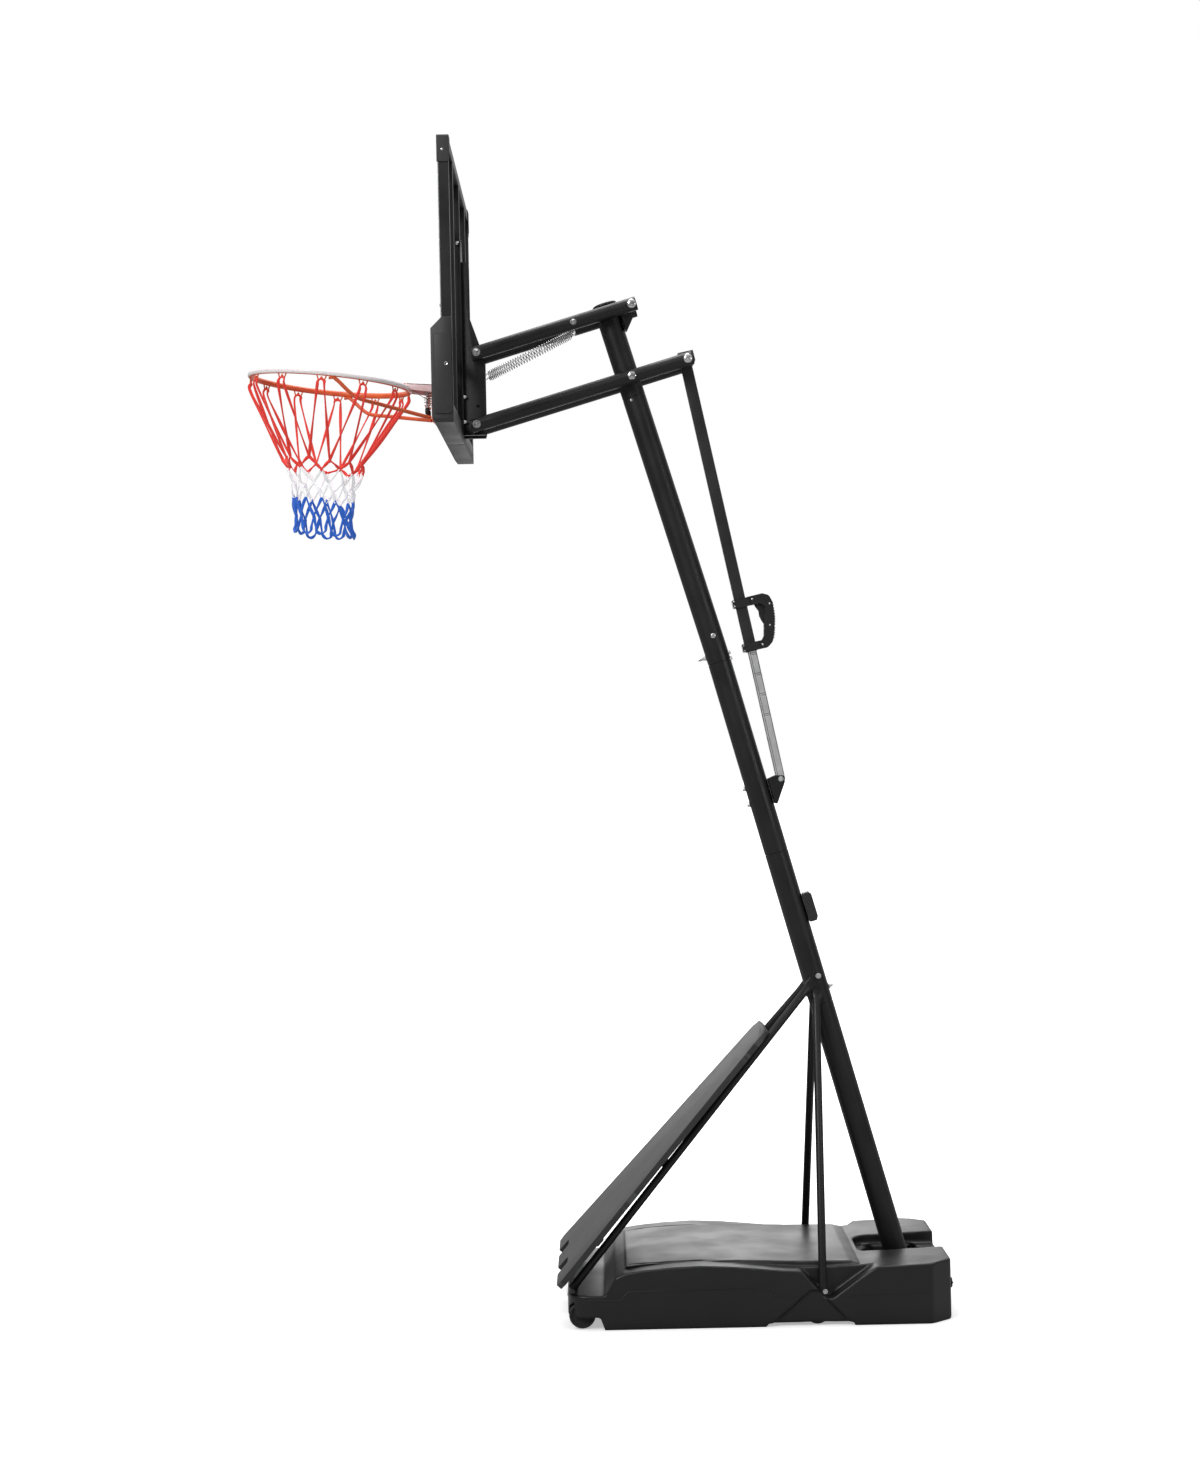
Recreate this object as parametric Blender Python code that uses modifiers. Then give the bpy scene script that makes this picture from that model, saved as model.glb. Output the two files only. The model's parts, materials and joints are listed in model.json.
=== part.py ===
"""Portable basketball hoop: ballast base, leaning sectional pole, parallelogram lift, backboard and rim.

Frame: metres, +Z up, origin on the floor under the middle of the base. The players stand on the -X side,
the pole leans towards them, and Y = 0 is the plane of symmetry. "left" is the -Y side.
"""

import math

import bmesh
import bpy
from mathutils import Matrix, Vector

GAP = 0.0003  # clearance between neighbouring solids

# Pole: an axis that leans forward over the base
POLE_LEAN = math.radians(15.45)
UPPER_LEAN = math.radians(16.72)  # the play in one joint lets the two top sections lean a little more
POLE_BEND_X = -0.0650
POLE_BEND_HEIGHT = 1.922
POLE_RADIUS = 0.035
POLE_WALL = 0.0016
POLE_FOOT_HEIGHT = 0.112
SEAM_HEIGHTS = (0.886, 1.337, POLE_BEND_HEIGHT, 2.703)
POLE_TOP_HEIGHT = 2.974
SPIGOT_LENGTH = 0.070
BEND_GAP = 0.0012

# Lift linkage: two arm pairs of equal length between the pole head and the board bracket
LOWER_PIVOT = Vector((-0.30578, 0.0, 2.756))
ARM_LENGTH = 0.480
ARM_DROP = math.radians(16.15)
LEVER_LENGTH = 0.173
PIVOT_SPACING = Vector((0.003, 0.0, 0.213))
ARM_RADIUS = 0.0205
ARM_WALL = 0.0016
ARM_OFFSET = 0.063  # arm centre line from the plane of symmetry
BOLT_RADIUS = 0.006
BOLT_HEAD_RADIUS = 0.0135
BOLT_HEAD_HEIGHT = 0.008

# Height adjuster strut, from the lever end down to a bracket behind the pole
ADJUSTER_FOOT = Vector((0.1135, 0.0, 1.5555))
ADJUSTER_TUBE_WIDTH = 0.036
ADJUSTER_TUBE_WALL = 0.002
ADJUSTER_TUBE_END = 0.885
BAR_WIDTH = 0.026
BAR_START = 0.600
NOTCH_FIRST = 0.896
NOTCH_PITCH = 0.058
NOTCH_COUNT = 4

# Backboard
BOARD_HALF_WIDTH = 0.555
BOARD_BOTTOM = 2.598
BOARD_TOP = 3.369
FRAME_FRONT = -0.8375
FRAME_BACK = -0.8095
RAIL_WIDTH = 0.028
MULLIONS = (-0.330, 0.0, 0.330)

# Rim and net
RIM_CENTRE = Vector((-1.205, 0.0, 2.7627))
RIM_TILT = math.radians(6.3)
RING_RADIUS = 0.2375
RING_ROD_RADIUS = 0.0085
RIM_PIVOT = Vector((-0.888, 0.0, 2.644))

# Base tank
BASE_FRONT = -0.548
BASE_REAR = 0.554
BASE_HALF_WIDTH = 0.355
STEP_TOP = 0.099
CUP_CENTRE_X = 0.420
CUP_RADIUS = 0.098
WHEEL_RADIUS = 0.038
WHEEL_WIDTH = 0.028
WHEEL_HEIGHT = 0.0400
WHEEL_Y = 0.321
FRONT_WHEEL_X = -0.507
REAR_WHEEL_X = 0.165
AXLE_RADIUS = 0.005
FILL_CAP_PLACE = Vector((BASE_REAR, -0.262, 0.098))

# Struts and guard panel
STRUT_RADIUS = 0.0115
STRUT_TOP_HEIGHT = 0.966
PANEL_LOWER = Vector((-0.579, 0.0, 0.127))
PANEL_UPPER = Vector((0.043, 0.0, 0.823))
PANEL_THICKNESS = 0.0170

COLLECTION = bpy.data.collections.new("portable_basketball_hoop")
CUTTERS = bpy.data.collections.new("portable_basketball_hoop_cutters")


def clear_scene():
    for obj in list(bpy.data.objects):
        bpy.data.objects.remove(obj)
    bpy.context.scene.collection.children.link(COLLECTION)
    bpy.context.scene.collection.children.link(CUTTERS)


# ---------------------------------------------------------------- materials


def material(name, colour, roughness, metallic):
    found = bpy.data.materials.get(name)
    if found:
        return found
    made = bpy.data.materials.new(name)
    made.use_nodes = True
    shader = made.node_tree.nodes["Principled BSDF"]
    shader.inputs["Base Color"].default_value = (*colour, 1.0)
    shader.inputs["Roughness"].default_value = roughness
    shader.inputs["Metallic"].default_value = metallic
    made.diffuse_color = (*colour, 1.0)
    return made


def black_steel():
    return material("black_powder_coat", (0.030, 0.030, 0.031), 0.45, 0.3)


def black_plastic():
    return material("black_plastic", (0.022, 0.022, 0.023), 0.5, 0.0)


def zinc():
    return material("zinc_steel", (0.72, 0.72, 0.74), 0.3, 1.0)


def orange_steel():
    return material("orange_powder_coat", (0.75, 0.12, 0.03), 0.4, 0.1)


# ---------------------------------------------------------------- shapes


def link(obj, mat):
    COLLECTION.objects.link(obj)
    obj.data.materials.append(mat)
    return obj


def from_bmesh(name, bm, mat):
    mesh = bpy.data.meshes.new(name)
    bm.to_mesh(mesh)
    bm.free()
    return link(bpy.data.objects.new(name, mesh), mat)


def along(start, end):
    """The rotation that turns +Z to the direction from start to end."""
    return (end - start).to_track_quat("Z", "Y").to_matrix().to_4x4()


def box(name, low, high, mat):
    """An upright box between two corners."""
    low, high = Vector(low), Vector(high)
    bm = bmesh.new()
    bmesh.ops.create_cube(bm, size=1.0, matrix=Matrix.Diagonal((*(high - low), 1.0)))
    obj = from_bmesh(name, bm, mat)
    obj.location = (low + high) / 2
    return obj


def beam(name, start, end, width, depth, mat):
    """A rectangular bar from start to end: width across in the XZ plane, depth along Y."""
    bm = bmesh.new()
    size = Matrix.Diagonal((width, depth, (end - start).length, 1.0))
    bmesh.ops.create_cube(bm, size=1.0, matrix=size)
    obj = from_bmesh(name, bm, mat)
    tilt = math.atan2(end.x - start.x, end.z - start.z)
    obj.rotation_euler = (0.0, tilt, 0.0)
    obj.location = (start + end) / 2
    return obj


def rod(name, start, end, radius, mat, sides=16):
    bm = bmesh.new()
    bmesh.ops.create_cone(
        bm,
        cap_ends=True,
        segments=sides,
        radius1=radius,
        radius2=radius,
        depth=(end - start).length,
    )
    obj = from_bmesh(name, bm, mat)
    obj.matrix_world = Matrix.Translation((start + end) / 2) @ along(start, end)
    return obj


def turned(name, profile, mat, sides=20, closed=False):
    """A profile of (radius, height) points, top to bottom on its outer side, turned about +Z."""
    mesh = bpy.data.meshes.new(name)
    points = [(radius, 0.0, height) for radius, height in profile]
    edges = [(i, i + 1) for i in range(len(points) - 1)]
    if closed:
        edges.append((len(points) - 1, 0))
    mesh.from_pydata(points, edges, [])
    obj = link(bpy.data.objects.new(name, mesh), mat)
    screw = obj.modifiers.new("Turn", "SCREW")
    screw.steps = sides
    screw.render_steps = sides
    screw.use_smooth_shade = False
    screw.use_merge_vertices = True
    screw.merge_threshold = 0.00002
    return obj


def tube(name, start, end, radius, wall, mat, sides=20):
    length = (end - start).length
    inner = radius - wall
    profile = [(radius, length), (radius, 0.0), (inner, 0.0), (inner, length)]
    obj = turned(name, profile, mat, sides, closed=True)
    obj.matrix_world = Matrix.Translation(start) @ along(start, end)
    return obj


def cross_bolt(name, centre, half_length, mat, shank=BOLT_RADIUS, head=BOLT_HEAD_RADIUS):
    """A bolt across the hoop, along Y, with a head and a nut at its ends."""
    tip = half_length + BOLT_HEAD_HEIGHT
    profile = [
        (0.0, tip),
        (head, tip),
        (head, half_length),
        (shank, half_length),
        (shank, -half_length),
        (head, -half_length),
        (head, -tip),
        (0.0, -tip),
    ]
    obj = turned(name, profile, mat, sides=12)
    obj.location = centre
    obj.rotation_euler = (math.pi / 2, 0.0, 0.0)
    return obj


PLANES = {
    "XY": (0.0, 0.0, 0.0),
    "XZ": (math.pi / 2, 0.0, 0.0),
    "YZ": (math.pi / 2, 0.0, math.pi / 2),
}


def plate(name, loops, plane, low, high, mat):
    """Closed outlines in a plane, the first one outside and the rest holes, from low to high across it."""
    curve = bpy.data.curves.new(name, "CURVE")
    curve.dimensions = "2D"
    curve.fill_mode = "BOTH"
    curve.extrude = (high - low) / 2
    for loop in loops:
        spline = curve.splines.new("POLY")
        spline.points.add(len(loop) - 1)
        for point, (x, y) in zip(spline.points, loop):
            point.co = (x, y, 0.0, 1.0)
        spline.use_cyclic_u = True
    obj = link(bpy.data.objects.new(name, curve), mat)
    obj.rotation_euler = PLANES[plane]
    middle = (low + high) / 2
    obj.location = {"XY": (0, 0, middle), "XZ": (0, middle, 0), "YZ": (middle, 0, 0)}[plane]
    return as_mesh(obj)


def wire(name, points, radius, mat, resolution=2):
    """A round wire along a list of points."""
    curve = bpy.data.curves.new(name, "CURVE")
    curve.dimensions = "3D"
    curve.bevel_depth = radius
    curve.bevel_resolution = resolution
    curve.use_fill_caps = True
    spline = curve.splines.new("POLY")
    spline.points.add(len(points) - 1)
    for point, place in zip(spline.points, points):
        point.co = (*place, 1.0)
    return as_mesh(link(bpy.data.objects.new(name, curve), mat))


def as_mesh(obj):
    """Turns a curve object into a mesh object with its caps welded."""
    name = obj.name
    bpy.context.view_layer.update()
    graph = bpy.context.evaluated_depsgraph_get()
    mesh = bpy.data.meshes.new_from_object(obj.evaluated_get(graph))
    mesh.name = name
    bm = bmesh.new()
    bm.from_mesh(mesh)
    bmesh.ops.remove_doubles(bm, verts=bm.verts, dist=0.000002)
    bmesh.ops.recalc_face_normals(bm, faces=bm.faces)
    bm.to_mesh(mesh)
    bm.free()
    place = obj.matrix_world.copy()
    bpy.data.objects.remove(obj)
    made = bpy.data.objects.new(name, mesh)
    made.matrix_world = place
    COLLECTION.objects.link(made)
    return made


def helper(obj):
    """Keeps an object as a hidden cutter or as a shape joined into another."""
    COLLECTION.objects.unlink(obj)
    CUTTERS.objects.link(obj)
    obj.hide_render = True
    obj.display_type = "WIRE"
    return obj


def boolean(target, other, operation):
    helper(other)
    modifier = target.modifiers.new(operation.title(), "BOOLEAN")
    modifier.operation = operation
    modifier.object = other
    return target


def cut(target, other):
    return boolean(target, other, "DIFFERENCE")


def join(target, other):
    return boolean(target, other, "UNION")


def cross_hole(target, centre, radius=BOLT_RADIUS + GAP, reach=0.2):
    """A hole through target along Y."""
    side = Vector((0.0, reach, 0.0))
    return cut(target, rod("hole_cutter", centre - side, centre + side, radius, black_steel(), 12))


def arc(centre, radius, start, end, steps=6):
    """Points on a circle of the outline's plane, with angles in degrees."""
    angles = [math.radians(start + (end - start) * i / steps) for i in range(steps + 1)]
    return [(centre[0] + radius * math.cos(a), centre[1] + radius * math.sin(a)) for a in angles]


def rectangle(x_low, x_high, y_low, y_high):
    return [(x_low, y_low), (x_high, y_low), (x_high, y_high), (x_low, y_high)]


def sides():
    return (("left", -1.0), ("right", 1.0))


# ---------------------------------------------------------------- places


def pole_at(height, behind=0.0, y=0.0):
    """A point on the pole's axis at this height, moved behind it at right angles."""
    lean = UPPER_LEAN if height > POLE_BEND_HEIGHT else POLE_LEAN
    x = POLE_BEND_X - (height - POLE_BEND_HEIGHT) * math.tan(lean)
    shift = Vector((math.cos(lean), 0.0, math.sin(lean))) * behind
    return Vector((x, y, height)) + shift


POLE_FOOT = pole_at(POLE_FOOT_HEIGHT)
STRUT_BOLT_PLACE = pole_at(STRUT_TOP_HEIGHT)
ARM_DIRECTION = Vector((-math.cos(ARM_DROP), 0.0, -math.sin(ARM_DROP)))
UPPER_PIVOT = LOWER_PIVOT + PIVOT_SPACING
LOWER_FRONT = LOWER_PIVOT + ARM_DIRECTION * ARM_LENGTH
UPPER_FRONT = UPPER_PIVOT + ARM_DIRECTION * ARM_LENGTH
LEVER_END = LOWER_PIVOT - ARM_DIRECTION * LEVER_LENGTH
STRUT_DIRECTION = (ADJUSTER_FOOT - LEVER_END).normalized()
STRUT_ACROSS = Vector((-STRUT_DIRECTION.z, 0.0, STRUT_DIRECTION.x))
STRUT_LENGTH = (ADJUSTER_FOOT - LEVER_END).length


def on_strut(down, across, y=0.0):
    """A point in the adjuster's own frame: down its length, across towards the rear, and sideways."""
    return LEVER_END + STRUT_DIRECTION * down + STRUT_ACROSS * across + Vector((0.0, y, 0.0))


def strut_outline(points):
    return [(on_strut(down, across).x, on_strut(down, across).z) for down, across in points]


def on_ring(angle, drop=0.0, radius=RING_RADIUS):
    """A point on the tilted ring's centre line, dropped below it along the ring's axis."""
    forward = Vector((-math.cos(RIM_TILT), 0.0, math.sin(RIM_TILT)))
    up = Vector((math.sin(RIM_TILT), 0.0, math.cos(RIM_TILT)))
    side = Vector((0.0, 1.0, 0.0))
    a = math.radians(angle)
    return RIM_CENTRE + forward * radius * math.cos(a) + side * radius * math.sin(a) - up * drop


# ---------------------------------------------------------------- base


def base_plan(inset=0.0):
    """The base seen from above: rounded front corners and cut rear corners."""
    half = BASE_HALF_WIDTH - inset
    front = BASE_FRONT + inset
    rear = BASE_REAR - inset
    corner = 0.070
    chamfer = 0.063
    loop = [(rear, half - chamfer), (rear - chamfer, half)]
    loop += arc((front + corner, half - corner), corner, 90, 180)
    loop += arc((front + corner, corner - half), corner, 180, 270)
    return loop + [(rear - chamfer, -half), (rear, chamfer - half)]


def base_side():
    """The base seen from the side: low front step, crowned deck, and raised nose for the wheels."""
    crown = [(-0.411 + 0.121 * i, 0.155 + 0.023 * math.sin(math.pi * (i + 0.5) / 5.6)) for i in range(5)]
    lower = [(0.60, 0.0), (-0.443, 0.0), (-0.455, 0.036), (-0.60, 0.036)]
    return [(-0.60, STEP_TOP), (-0.439, STEP_TOP)] + crown + [(0.30, 0.166), (0.60, 0.174)] + lower


def notch_outline():
    """The V-shaped notch in each side where a rear strut is bolted."""
    return [(0.115, 0.25), (0.115, 0.163), (0.190, 0.078), (0.208, 0.078), (0.285, 0.163), (0.285, 0.25)]


def wheel_arch_outline():
    """The shallow arch in each side below the notch."""
    return [(0.024, -0.01), (0.024, 0.0), (0.135, 0.100), (0.160, 0.100), (0.266, 0.0), (0.266, -0.01)]


def base_tank():
    mat = black_plastic()
    tank = plate("base_tank", [base_plan()], "XY", 0.0, 0.20, mat)
    profile = plate("base_profile", [base_side()], "XZ", -0.5, 0.5, mat)
    boolean(tank, profile, "INTERSECT")
    for name, side in sides():
        inner, outer = sorted((side * 0.300, side * 0.400))
        cut(tank, plate("notch_" + name, [notch_outline()], "XZ", inner, outer, mat))
        inner, outer = sorted((side * 0.345, side * 0.400))
        cut(tank, plate("arch_" + name, [wheel_arch_outline()], "XZ", inner, outer, mat))
        for x in (FRONT_WHEEL_X, REAR_WHEEL_X):
            cut(tank, wheel_pocket(x, side * WHEEL_Y))
    for x in (FRONT_WHEEL_X, REAR_WHEEL_X):
        cut(tank, axle_groove(x))
    cup = Vector((CUP_CENTRE_X, 0.0, 0.100))
    cut(tank, rod("cup_cutter", cup, cup + Vector((0, 0, 0.2)), CUP_RADIUS, mat, 32))
    cut(tank, box("slot_cutter", (0.270, -0.123, 0.132), (0.70, 0.123, 0.30), mat))
    cut(tank, water_shape("water_cavity", 0.0))
    inside = FILL_CAP_PLACE - Vector((0.04, 0.0, 0.0))
    cut(tank, rod("fill_hole", inside, FILL_CAP_PLACE + Vector((0.02, 0.0, 0.0)), 0.0105, mat, 20))
    return tank


def front_water_plan(inset):
    """The part of the cavity in front of the rear wheels, seen from above."""
    wide = 0.338 - inset
    narrow = 0.285 - inset
    step = 0.098 - inset
    rear = 0.150
    loop = [(rear, -narrow), (rear, narrow), (step, narrow), (step, wide)]
    front = -0.393 + inset
    return loop + [(front, wide), (front, -wide), (step, -wide), (step, -narrow)]


def rear_water_plan(inset):
    """The part of the cavity that passes over the rear axle and round both sides of the pole's cup."""
    narrow = 0.285 - inset
    wide = 0.320 - inset
    step = 0.305 + inset
    inner = 0.140 + inset
    rear = 0.534 - inset
    cup = 0.255 - inset
    near = 0.140 - inset
    right = [(near, narrow), (step, narrow), (step, wide), (rear - 0.03, wide), (rear, wide - 0.04)]
    right += [(rear, inner), (cup, inner)]
    return right + [(x, -y) for x, y in reversed(right)]


def water_shape(name, inset):
    mat = material("water", (0.35, 0.50, 0.60), 0.1, 0.0)
    low, high = 0.012 + inset, 0.150 - inset
    shape = plate(name, [front_water_plan(inset)], "XY", low, high - 0.0005, mat)
    over_axle = 0.056 + inset
    return join(shape, plate("rear_water", [rear_water_plan(inset)], "XY", over_axle, high, mat))


def ballast_water():
    water_shape("ballast_water", 0.002)


def wheel_pocket(x, y):
    """Room for a wheel: a round top over an open box."""
    half = Vector((0.0, WHEEL_WIDTH / 2 + 0.002, 0.0))
    centre = Vector((x, y, WHEEL_HEIGHT))
    reach = WHEEL_RADIUS + 0.0025
    pocket = rod("wheel_pocket", centre - half, centre + half, reach, black_plastic(), 24)
    low = (x - reach, y - half.y, -0.02)
    high = (x + reach, y + half.y, WHEEL_HEIGHT)
    return join(pocket, box("wheel_pocket_mouth", low, high, black_plastic()))


def axle_groove(x):
    half = AXLE_RADIUS + GAP
    low = (x - half, -0.3505, -0.02)
    high = (x + half, 0.3505, WHEEL_HEIGHT + half)
    return box("axle_groove", low, high, black_plastic())


def fill_cap():
    """The screw cap on the rear face, through which the tank is filled and drained."""
    mat = black_plastic()
    head, stem = 0.0140, 0.0100
    profile = [(0.0, 0.006), (head, 0.006), (head, GAP), (stem, GAP), (stem, -0.015), (0.0, -0.015)]
    cap = turned("fill_cap", profile, mat, sides=20)
    cap.location = FILL_CAP_PLACE
    cap.rotation_euler = (0.0, math.pi / 2, 0.0)
    low = FILL_CAP_PLACE + Vector((0.004, -0.010, -0.002))
    join(cap, box("fill_cap_bar", low, low + Vector((0.005, 0.020, 0.004)), mat))


def wheels_and_axles():
    rubber = material("wheel_rubber", (0.02, 0.02, 0.02), 0.6, 0.0)
    half = WHEEL_WIDTH / 2
    bore = AXLE_RADIUS + GAP
    for row, x in (("front", FRONT_WHEEL_X), ("rear", REAR_WHEEL_X)):
        for name, side in sides():
            profile = [
                (WHEEL_RADIUS - 0.003, half),
                (WHEEL_RADIUS, half - 0.003),
                (WHEEL_RADIUS, 0.003 - half),
                (WHEEL_RADIUS - 0.003, -half),
                (bore, -half),
                (bore, half),
            ]
            wheel = turned(f"{row}_wheel_{name}", profile, rubber, sides=24, closed=True)
            wheel.location = (x, side * WHEEL_Y, WHEEL_HEIGHT)
            wheel.rotation_euler = (math.pi / 2, 0.0, 0.0)
        reach = Vector((0.0, 0.350, 0.0))
        centre = Vector((x, 0.0, WHEEL_HEIGHT))
        rod(f"{row}_axle", centre - reach, centre + reach, AXLE_RADIUS, zinc(), 12)


# ---------------------------------------------------------------- pole


def pole_section(name, low, high, spigot, mat):
    """A steel tube whose lower end is drawn in so that it slides into the section below."""
    start, end = pole_at(low), pole_at(high)
    bent = low == POLE_BEND_HEIGHT
    gap = BEND_GAP if high == POLE_BEND_HEIGHT else GAP
    length = (end - start).length - (gap if high < POLE_TOP_HEIGHT else 0.0)
    outer, inner = POLE_RADIUS, POLE_RADIUS - POLE_WALL
    neck = inner - GAP
    profile = [(outer, length), (outer, 0.0)]
    if spigot and not bent:
        profile += [(neck, 0.0), (neck, -SPIGOT_LENGTH), (neck - POLE_WALL, -SPIGOT_LENGTH)]
        profile += [(neck - POLE_WALL, 0.002), (inner, 0.006)]
    else:
        profile.append((inner, 0.0))
    profile.append((inner, length))
    obj = turned(name, profile, mat, sides=24, closed=True)
    obj.matrix_world = Matrix.Translation(start) @ along(start, end)
    if bent:
        collar = inner + 0.0008
        profile = [(collar, 0.008), (collar, 0.003), (neck, 0.003), (neck, -SPIGOT_LENGTH)]
        profile += [(neck - POLE_WALL, -SPIGOT_LENGTH), (neck - POLE_WALL, 0.005)]
        plug = turned(f"{name}_neck", profile, mat, sides=24, closed=True)
        plug.matrix_world = Matrix.Translation(start) @ along(POLE_FOOT, start)
        join(obj, plug)
    return obj


def pole():
    mat = black_steel()
    names = ("pole_foot_section", "pole_lower_section", "pole_middle_section", "pole_upper_section")
    heights = (POLE_FOOT_HEIGHT,) + SEAM_HEIGHTS
    for index, name in enumerate(names):
        section = pole_section(name, heights[index], heights[index + 1], index > 0, mat)
        if heights[index] < STRUT_TOP_HEIGHT < heights[index + 1]:
            weld_gussets(section)
            cross_hole(section, STRUT_BOLT_PLACE)
    head = pole_section("pole_head_section", SEAM_HEIGHTS[-1], POLE_TOP_HEIGHT, True, mat)
    cross_hole(head, LOWER_PIVOT)
    inner = POLE_RADIUS - POLE_WALL - GAP
    rim = POLE_RADIUS + 0.0015
    profile = [(0.0, 0.008), (rim - 0.003, 0.008), (rim, 0.005), (rim, GAP)]
    profile += [(inner, GAP), (inner, -0.02), (0.0, -0.02)]
    cap = turned("pole_cap", profile, black_plastic(), sides=24)
    top = pole_at(POLE_TOP_HEIGHT)
    cap.matrix_world = Matrix.Translation(top) @ along(pole_at(POLE_BEND_HEIGHT), top)


def pole_bracket(name, top, bottom, rear, half_width):
    """A welded channel behind the pole: a web on the tube and two cheeks that reach the rear outline."""
    mat = black_steel()
    thickness = 0.003
    near = POLE_RADIUS + GAP
    web_top = pole_at(top - 0.001, near + thickness / 2)
    web_bottom = pole_at(bottom + 0.001, near + thickness / 2)
    bracket = beam(name, web_bottom, web_top, thickness - 0.0002, 2 * half_width - 0.001, mat)
    corners = (pole_at(bottom, near), pole_at(top, near))
    outline = [(corner.x, corner.z) for corner in corners] + rear
    for side_name, side in sides():
        inner, outer = sorted((side * half_width, side * (half_width - thickness)))
        join(bracket, plate(f"{name}_cheek_{side_name}", [outline], "XZ", inner, outer, mat))
    return bracket


def pole_fittings():
    rear = [(-0.300, 2.992), (-0.288, 2.980), (-0.290, 2.957), (-0.299, 2.942), (-0.3165, 2.9025)]
    head = pole_bracket("head_bracket", 2.950, 2.8905, rear, 0.025)
    cross_hole(head, UPPER_PIVOT)
    foot = ADJUSTER_FOOT
    rear = [(0.098, 1.565), *[(foot.x + 0.013 * math.cos(a), foot.z + 0.013 * math.sin(a)) for a in (1.2, 0.4, -0.4)]]
    rear.append((0.102, 1.481))
    pole_bracket("adjuster_bracket", 1.546, 1.474, rear, 0.0195)
    for name, side in sides():
        outer = Vector((0.0, side * (0.0195 + GAP), 0.0))
        profile = [(0.0, 0.006), (0.0075, 0.006), (0.0075, 0.0), (0.0, 0.0)]
        bolt = turned(f"adjuster_pivot_bolt_{name}", profile, zinc(), sides=12)
        bolt.location = foot + outer
        bolt.rotation_euler = (-side * math.pi / 2, 0.0, 0.0)
    holder_low = pole_at(1.118, POLE_RADIUS + GAP + 0.0145)
    holder_high = pole_at(1.200, POLE_RADIUS + GAP + 0.0145)
    beam("pole_grip_block", holder_low, holder_high, 0.0290, 0.050, black_plastic())


# ---------------------------------------------------------------- struts and guard panel


def weld_gussets(section):
    """The two cheeks on the sides of the pole that hold the tops of the struts."""
    outline = [(0.170, 0.950), (0.199, 0.987), (0.224, 0.958), (0.222, 0.908), (0.180, 0.897)]
    for name, side in sides():
        inner, outer = sorted((side * 0.0341, side * 0.0385))
        join(section, plate("strut_gusset_" + name, [outline], "XZ", inner, outer, black_steel()))


def struts():
    mat = black_steel()
    cross_bolt("strut_bolt", STRUT_BOLT_PLACE, 0.0390, zinc(), shank=BOLT_RADIUS, head=0.009)
    for name, side in sides():
        front_top = Vector((0.163, side * 0.054, 0.918))
        front_foot = Vector((-0.525, side * 0.270, 0.1145))
        rod(f"front_strut_{name}", front_foot, front_top, STRUT_RADIUS, mat, 14)
        rear_top = Vector((0.200, side * 0.054, 0.890))
        rear_foot = Vector((0.181, side * 0.333, 0.112))
        rod(f"rear_strut_{name}", rear_foot, rear_top, STRUT_RADIUS, mat, 14)


def panel_outline():
    """The guard panel in its own plane: x up the slope from its lower edge, y across."""
    length = (PANEL_UPPER - PANEL_LOWER).length
    low_half, high_half, corner = 0.350, 0.150, 0.060
    notch_in, notch_out, notch_depth = 0.090, 0.175, 0.045
    loop = [(0.0, -low_half)]
    loop += arc((length - corner, corner - high_half), corner, -78, 0, 4)
    loop += arc((length - corner, high_half - corner), corner, 0, 78, 4)
    loop += [(0.0, low_half)]
    for edge_a, edge_b in ((notch_out, notch_in), (-notch_in, -notch_out)):
        loop += [(0.0, edge_a), (notch_depth, edge_a), (notch_depth, edge_b), (0.0, edge_b)]
    return loop


def guard_panel():
    panel = plate("guard_panel", [panel_outline()], "XY", -PANEL_THICKNESS, 0.0, black_plastic())
    up_slope = (PANEL_UPPER - PANEL_LOWER).normalized()
    across = Vector((0.0, 1.0, 0.0))
    outward = up_slope.cross(across)
    turn = Matrix((up_slope, across, outward)).transposed().to_4x4()
    panel.matrix_world = Matrix.Translation(PANEL_LOWER) @ turn @ Matrix.Translation((0, 0, -PANEL_THICKNESS / 2))


# ---------------------------------------------------------------- lift linkage


def arm(name, start, end, side, holes):
    shift = Vector((0.0, side * ARM_OFFSET, 0.0))
    obj = tube(name, start + shift, end + shift, ARM_RADIUS, ARM_WALL, black_steel())
    for hole in holes:
        cross_hole(obj, hole)
    return obj


def arms():
    front_reach, rear_reach = 0.017, 0.015
    for name, side in sides():
        lower_start = LOWER_FRONT + ARM_DIRECTION * front_reach
        lower_end = LEVER_END - ARM_DIRECTION * rear_reach
        arm(f"lower_arm_{name}", lower_start, lower_end, side, (LOWER_FRONT, LOWER_PIVOT, LEVER_END))
        upper_start = UPPER_FRONT + ARM_DIRECTION * front_reach
        upper_end = UPPER_PIVOT - ARM_DIRECTION * rear_reach
        arm(f"upper_arm_{name}", upper_start, upper_end, side, (UPPER_FRONT, UPPER_PIVOT))
    reach = ARM_OFFSET + ARM_RADIUS + GAP
    cross_bolt("lower_pivot_bolt", LOWER_PIVOT, reach, zinc())
    cross_bolt("upper_pivot_bolt", UPPER_PIVOT, reach, zinc())
    cross_bolt("lower_front_bolt", LOWER_FRONT, reach, zinc())
    cross_bolt("upper_front_bolt", UPPER_FRONT, reach, zinc())
    cross_bolt("lever_bolt", LEVER_END, reach, zinc())


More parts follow.
